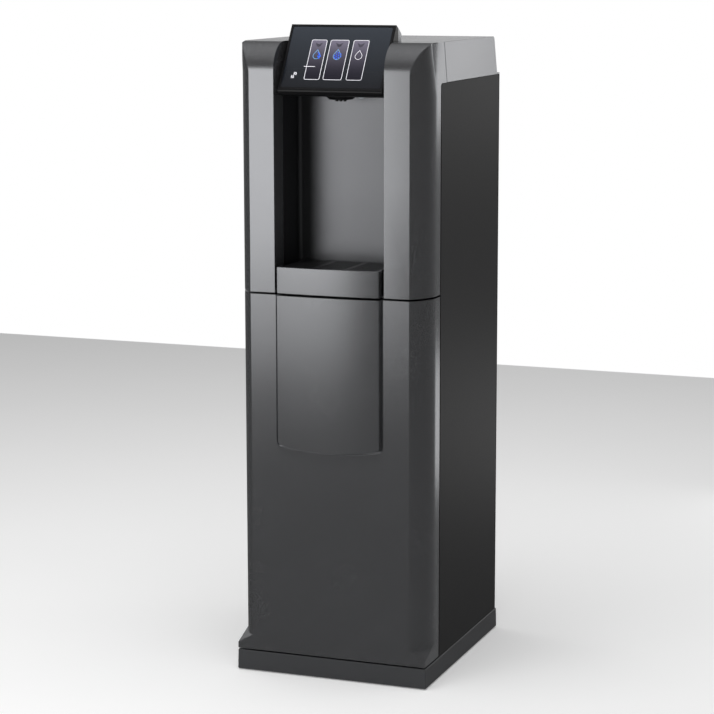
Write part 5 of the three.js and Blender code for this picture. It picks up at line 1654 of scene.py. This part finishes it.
def pump():
    """The ribbed pump motor and its brass head."""
    size = Extent("water_pump")
    x, z = size.x, size.z1 - 34
    y0, y1 = size.y0, size.y1
    ribs = [(0, y0), (24, y0), (30, y0 + 2), (33, y0 + 6), (34, y0 + 9)]
    for step in range(11):
        y = y0 + 14 + 4.2 * step
        ribs += [(34, y), (32.2, y + 0.4), (32.2, y + 2.2), (34, y + 2.6)]
    motor = lathe([*ribs, (34, y0 + 70), (0, y0 + 70)], "y", (x, 0, z), 72)
    foot_block = slab(x - 30, x + 30, y0 + 12, y0 + 62, size.z0, z - 20, 1.5, 2)
    piece("pump_motor", gathered([motor, foot_block]), "water_pump", replaces=True)
    volute = lathe([(0, y0 + 69), (22, y0 + 69), (22, y0 + 74), (19, y0 + 76), (19, y1 - 8), (16, y1 - 4),
                    (12, y1),
                    (0, y1)], "y", (x, 0, z), 64)
    ports = [rod(6, "x", (0, y0 + 88, z), x - 29, x + 29, 0.8, 28)]
    bolts = around(soften(lathe([(0, y0 + 67.5), (2.6, y0 + 67.5), (2.6, y0 + 70.5), (0, y0 + 70.5)], "y",
                                (x + 25, 0, z), 6), 0.3, 1, 30), "y", (x, 0, z), 6)
    piece("pump_head", gathered([volute, *ports, bolts]), "water_pump", "brass")


def control_box():
    """The control box, its glands and the wiring that leaves it."""
    size = Extent("control_box")
    bolts = [screw(x, size.y0 + 3, z, "y", 2.8, 1.4, -1) for x in (84, 156)
             for z in (size.z0 + 14, size.z1 - 26)]
    refined("control_box", 1.6, 3)
    glands = [lathe([(0, size.z0 - 9), (4.5, size.z0 - 9), (6.2, size.z0 - 6), (6.2, size.z0 - 3),
                     (7.5, size.z0 - 3),
                     (7.5, size.z0), (0, size.z0)], "z", (x, size.y0 + 20, 0), 24) for x in (88, 104)]
    piece("control_screws", gathered(bolts), "control_box", "zinc_steel")
    piece("control_glands", gathered(glands), "control_box", "black_plastic")
    mains = Extent("mains_inlet")
    back = size.y1 + 6
    loom = [hose([(150, size.y1 - 4, size.z0 + 30), (150, back, size.z0 + 10), (136, back, size.z0 - 40),
                  (114, back, 670), (112, back, 634), (112, back - 4, 560), (112, 372, 420),
                  (118, 374, 340),
                  (118, 374, mains.z1 - 4)], 2.6, 16, 8),
            hose([(106, back, 640), (104, back - 4, 560), (100, 366, 430), (60, 350, 300), (34, 322, 190),
                  (32, 306, 138)], 2.2, 16, 8)]
    piece("control_loom", gathered(loom), "control_box", "rubber")


def display_parts():
    """Chips on the back of the display board."""
    chips = []
    for u, v, half_u, half_v, rise in ((-52, 40, 9, 9, 2.2), (-8, 66, 7, 5, 1.8), (30, 34, 12, 4, 5.0),
                                       (58, 74, 5, 8, 2.4)):
        chip = slab(u - half_u, u + half_u, v - half_v, v + half_v, -10.5 - rise, -10.3, 0.3, 1)
        chips.append(moved(chip, ON_SLANT))
    refined("display_board", 0.2)
    piece("board_chips", gathered(chips), "display_board", "black_plastic")


# ---------------------------------------------------------------- lines
def lines():
    """The hoses and pipes, each on one smooth curve."""
    reg, gauge_size = Extent("regulator_body"), Extent("pressure_gauge")
    middle, bottle = gauge_size.x, Extent("gas_cylinder")
    vessel, inlet = Extent("carbonator"), Extent("inlet_fitting")
    cold, filt = Extent("cold_tank"), Extent("filter_cartridge")
    lid = Extent("cold_tank_lid")
    runs = {
        "gas_line": (3.5, [(middle, bottle.y, reg.z1 + 0.7), (bottle.x - 42, bottle.y, 500),
                           (bottle.x - 20, bottle.y + 8, 560), (vessel.x, vessel.y - 6, 600),
                           (vessel.x, vessel.y, 625), (vessel.x, vessel.y, vessel.z0 - 0.3)]),
        "inlet_line": (4.0, [(inlet.x, 365.4, inlet.z), (inlet.x, 350, inlet.z),
                             (inlet.x, 330, inlet.z + 14),
                             (-128, 300, 340), (-122, 250, 470), (-116, 230, 580), (filt.x, 205, 604),
                             (filt.x, filt.y + 32.4, 606)]),
        "refrigerant_line": (3.5, [(SUCTION_X, SUCTION_Y, 200.0), (62, 270, 225), (20, 262, 330),
                                   (-28, 290, 480),
                                   (-40, 300, 600), (-40, 300, cold.z0 - 0.3)]),
        "dispense_line": (4.0, [(0, 176, lid.z1 + 1.0), (0, 172, 950), (0, 150, 985), (0, 122, 1002),
                                (0, 100, 1003),
                                (0, 72, 1003.5)]),
    }
    for node, (radius, points) in runs.items():
        piece(node + "_run", hose(points, radius, 24, 10), node, replaces=True)
    drain = [(0, 98, 637), (0, 104, 560), (-6, 128, 460), (-20, 150, 380), (-30, 160, 310), (-30, 160, 285)]
    cup = lathe([(0, 636), (4, 636), (5.6, 644), (5.6, 654.7), (4.6, 654.7), (4.6, 646), (0, 646)], "z",
                (0, 98, 0), 32)
    piece("drain_run", gathered([hose(drain, 4.0, 24, 10), cup]), "drain_hose", replaces=True)


door_inside()
frame_screws()
hinge("top")
hinge("bottom")
gas_bottle()
bottle_strap()
bottle_valve()
valve_wheel()
regulator()
gauge()
filter_set()
waste_tank()
compressor()
condenser()
fan()
tank_insulation()
carbonator()
valves()
pump()
control_box()
display_parts()
lines()

# ---------------------------------------------------------------- everything else, from its CAD shape
for other in sorted(SLOT_OF):
    thing = frame["nodes"][other]
    if not thing.hide_render:
        refined(other)

# ---------------------------------------------------------------- floor
floor_mesh = prism(rectangle(-3000, 3000, -3000, 3000), "z", -20, -0.05)
bmesh.ops.transform(floor_mesh, matrix=TO_FRAME, verts=floor_mesh.verts)
floor = as_object(floor_mesh, "floor")
floor_finish = Finish("floor", Roughness=0.9)
floor_tone = floor_finish.noise(3.0)
floor_finish.put("Base Color", floor_finish.blend(floor_tone, shade(0.93, 0.93, 0.93),
                                                  shade(0.96, 0.96, 0.96)))
floor_finish.put("Emission Color", (1.0, 1.0, 1.0, 1.0))
floor_finish.put("Emission Strength", 0.22)
floor.data.materials.append(floor_finish.material)
floor.visible_glossy = False
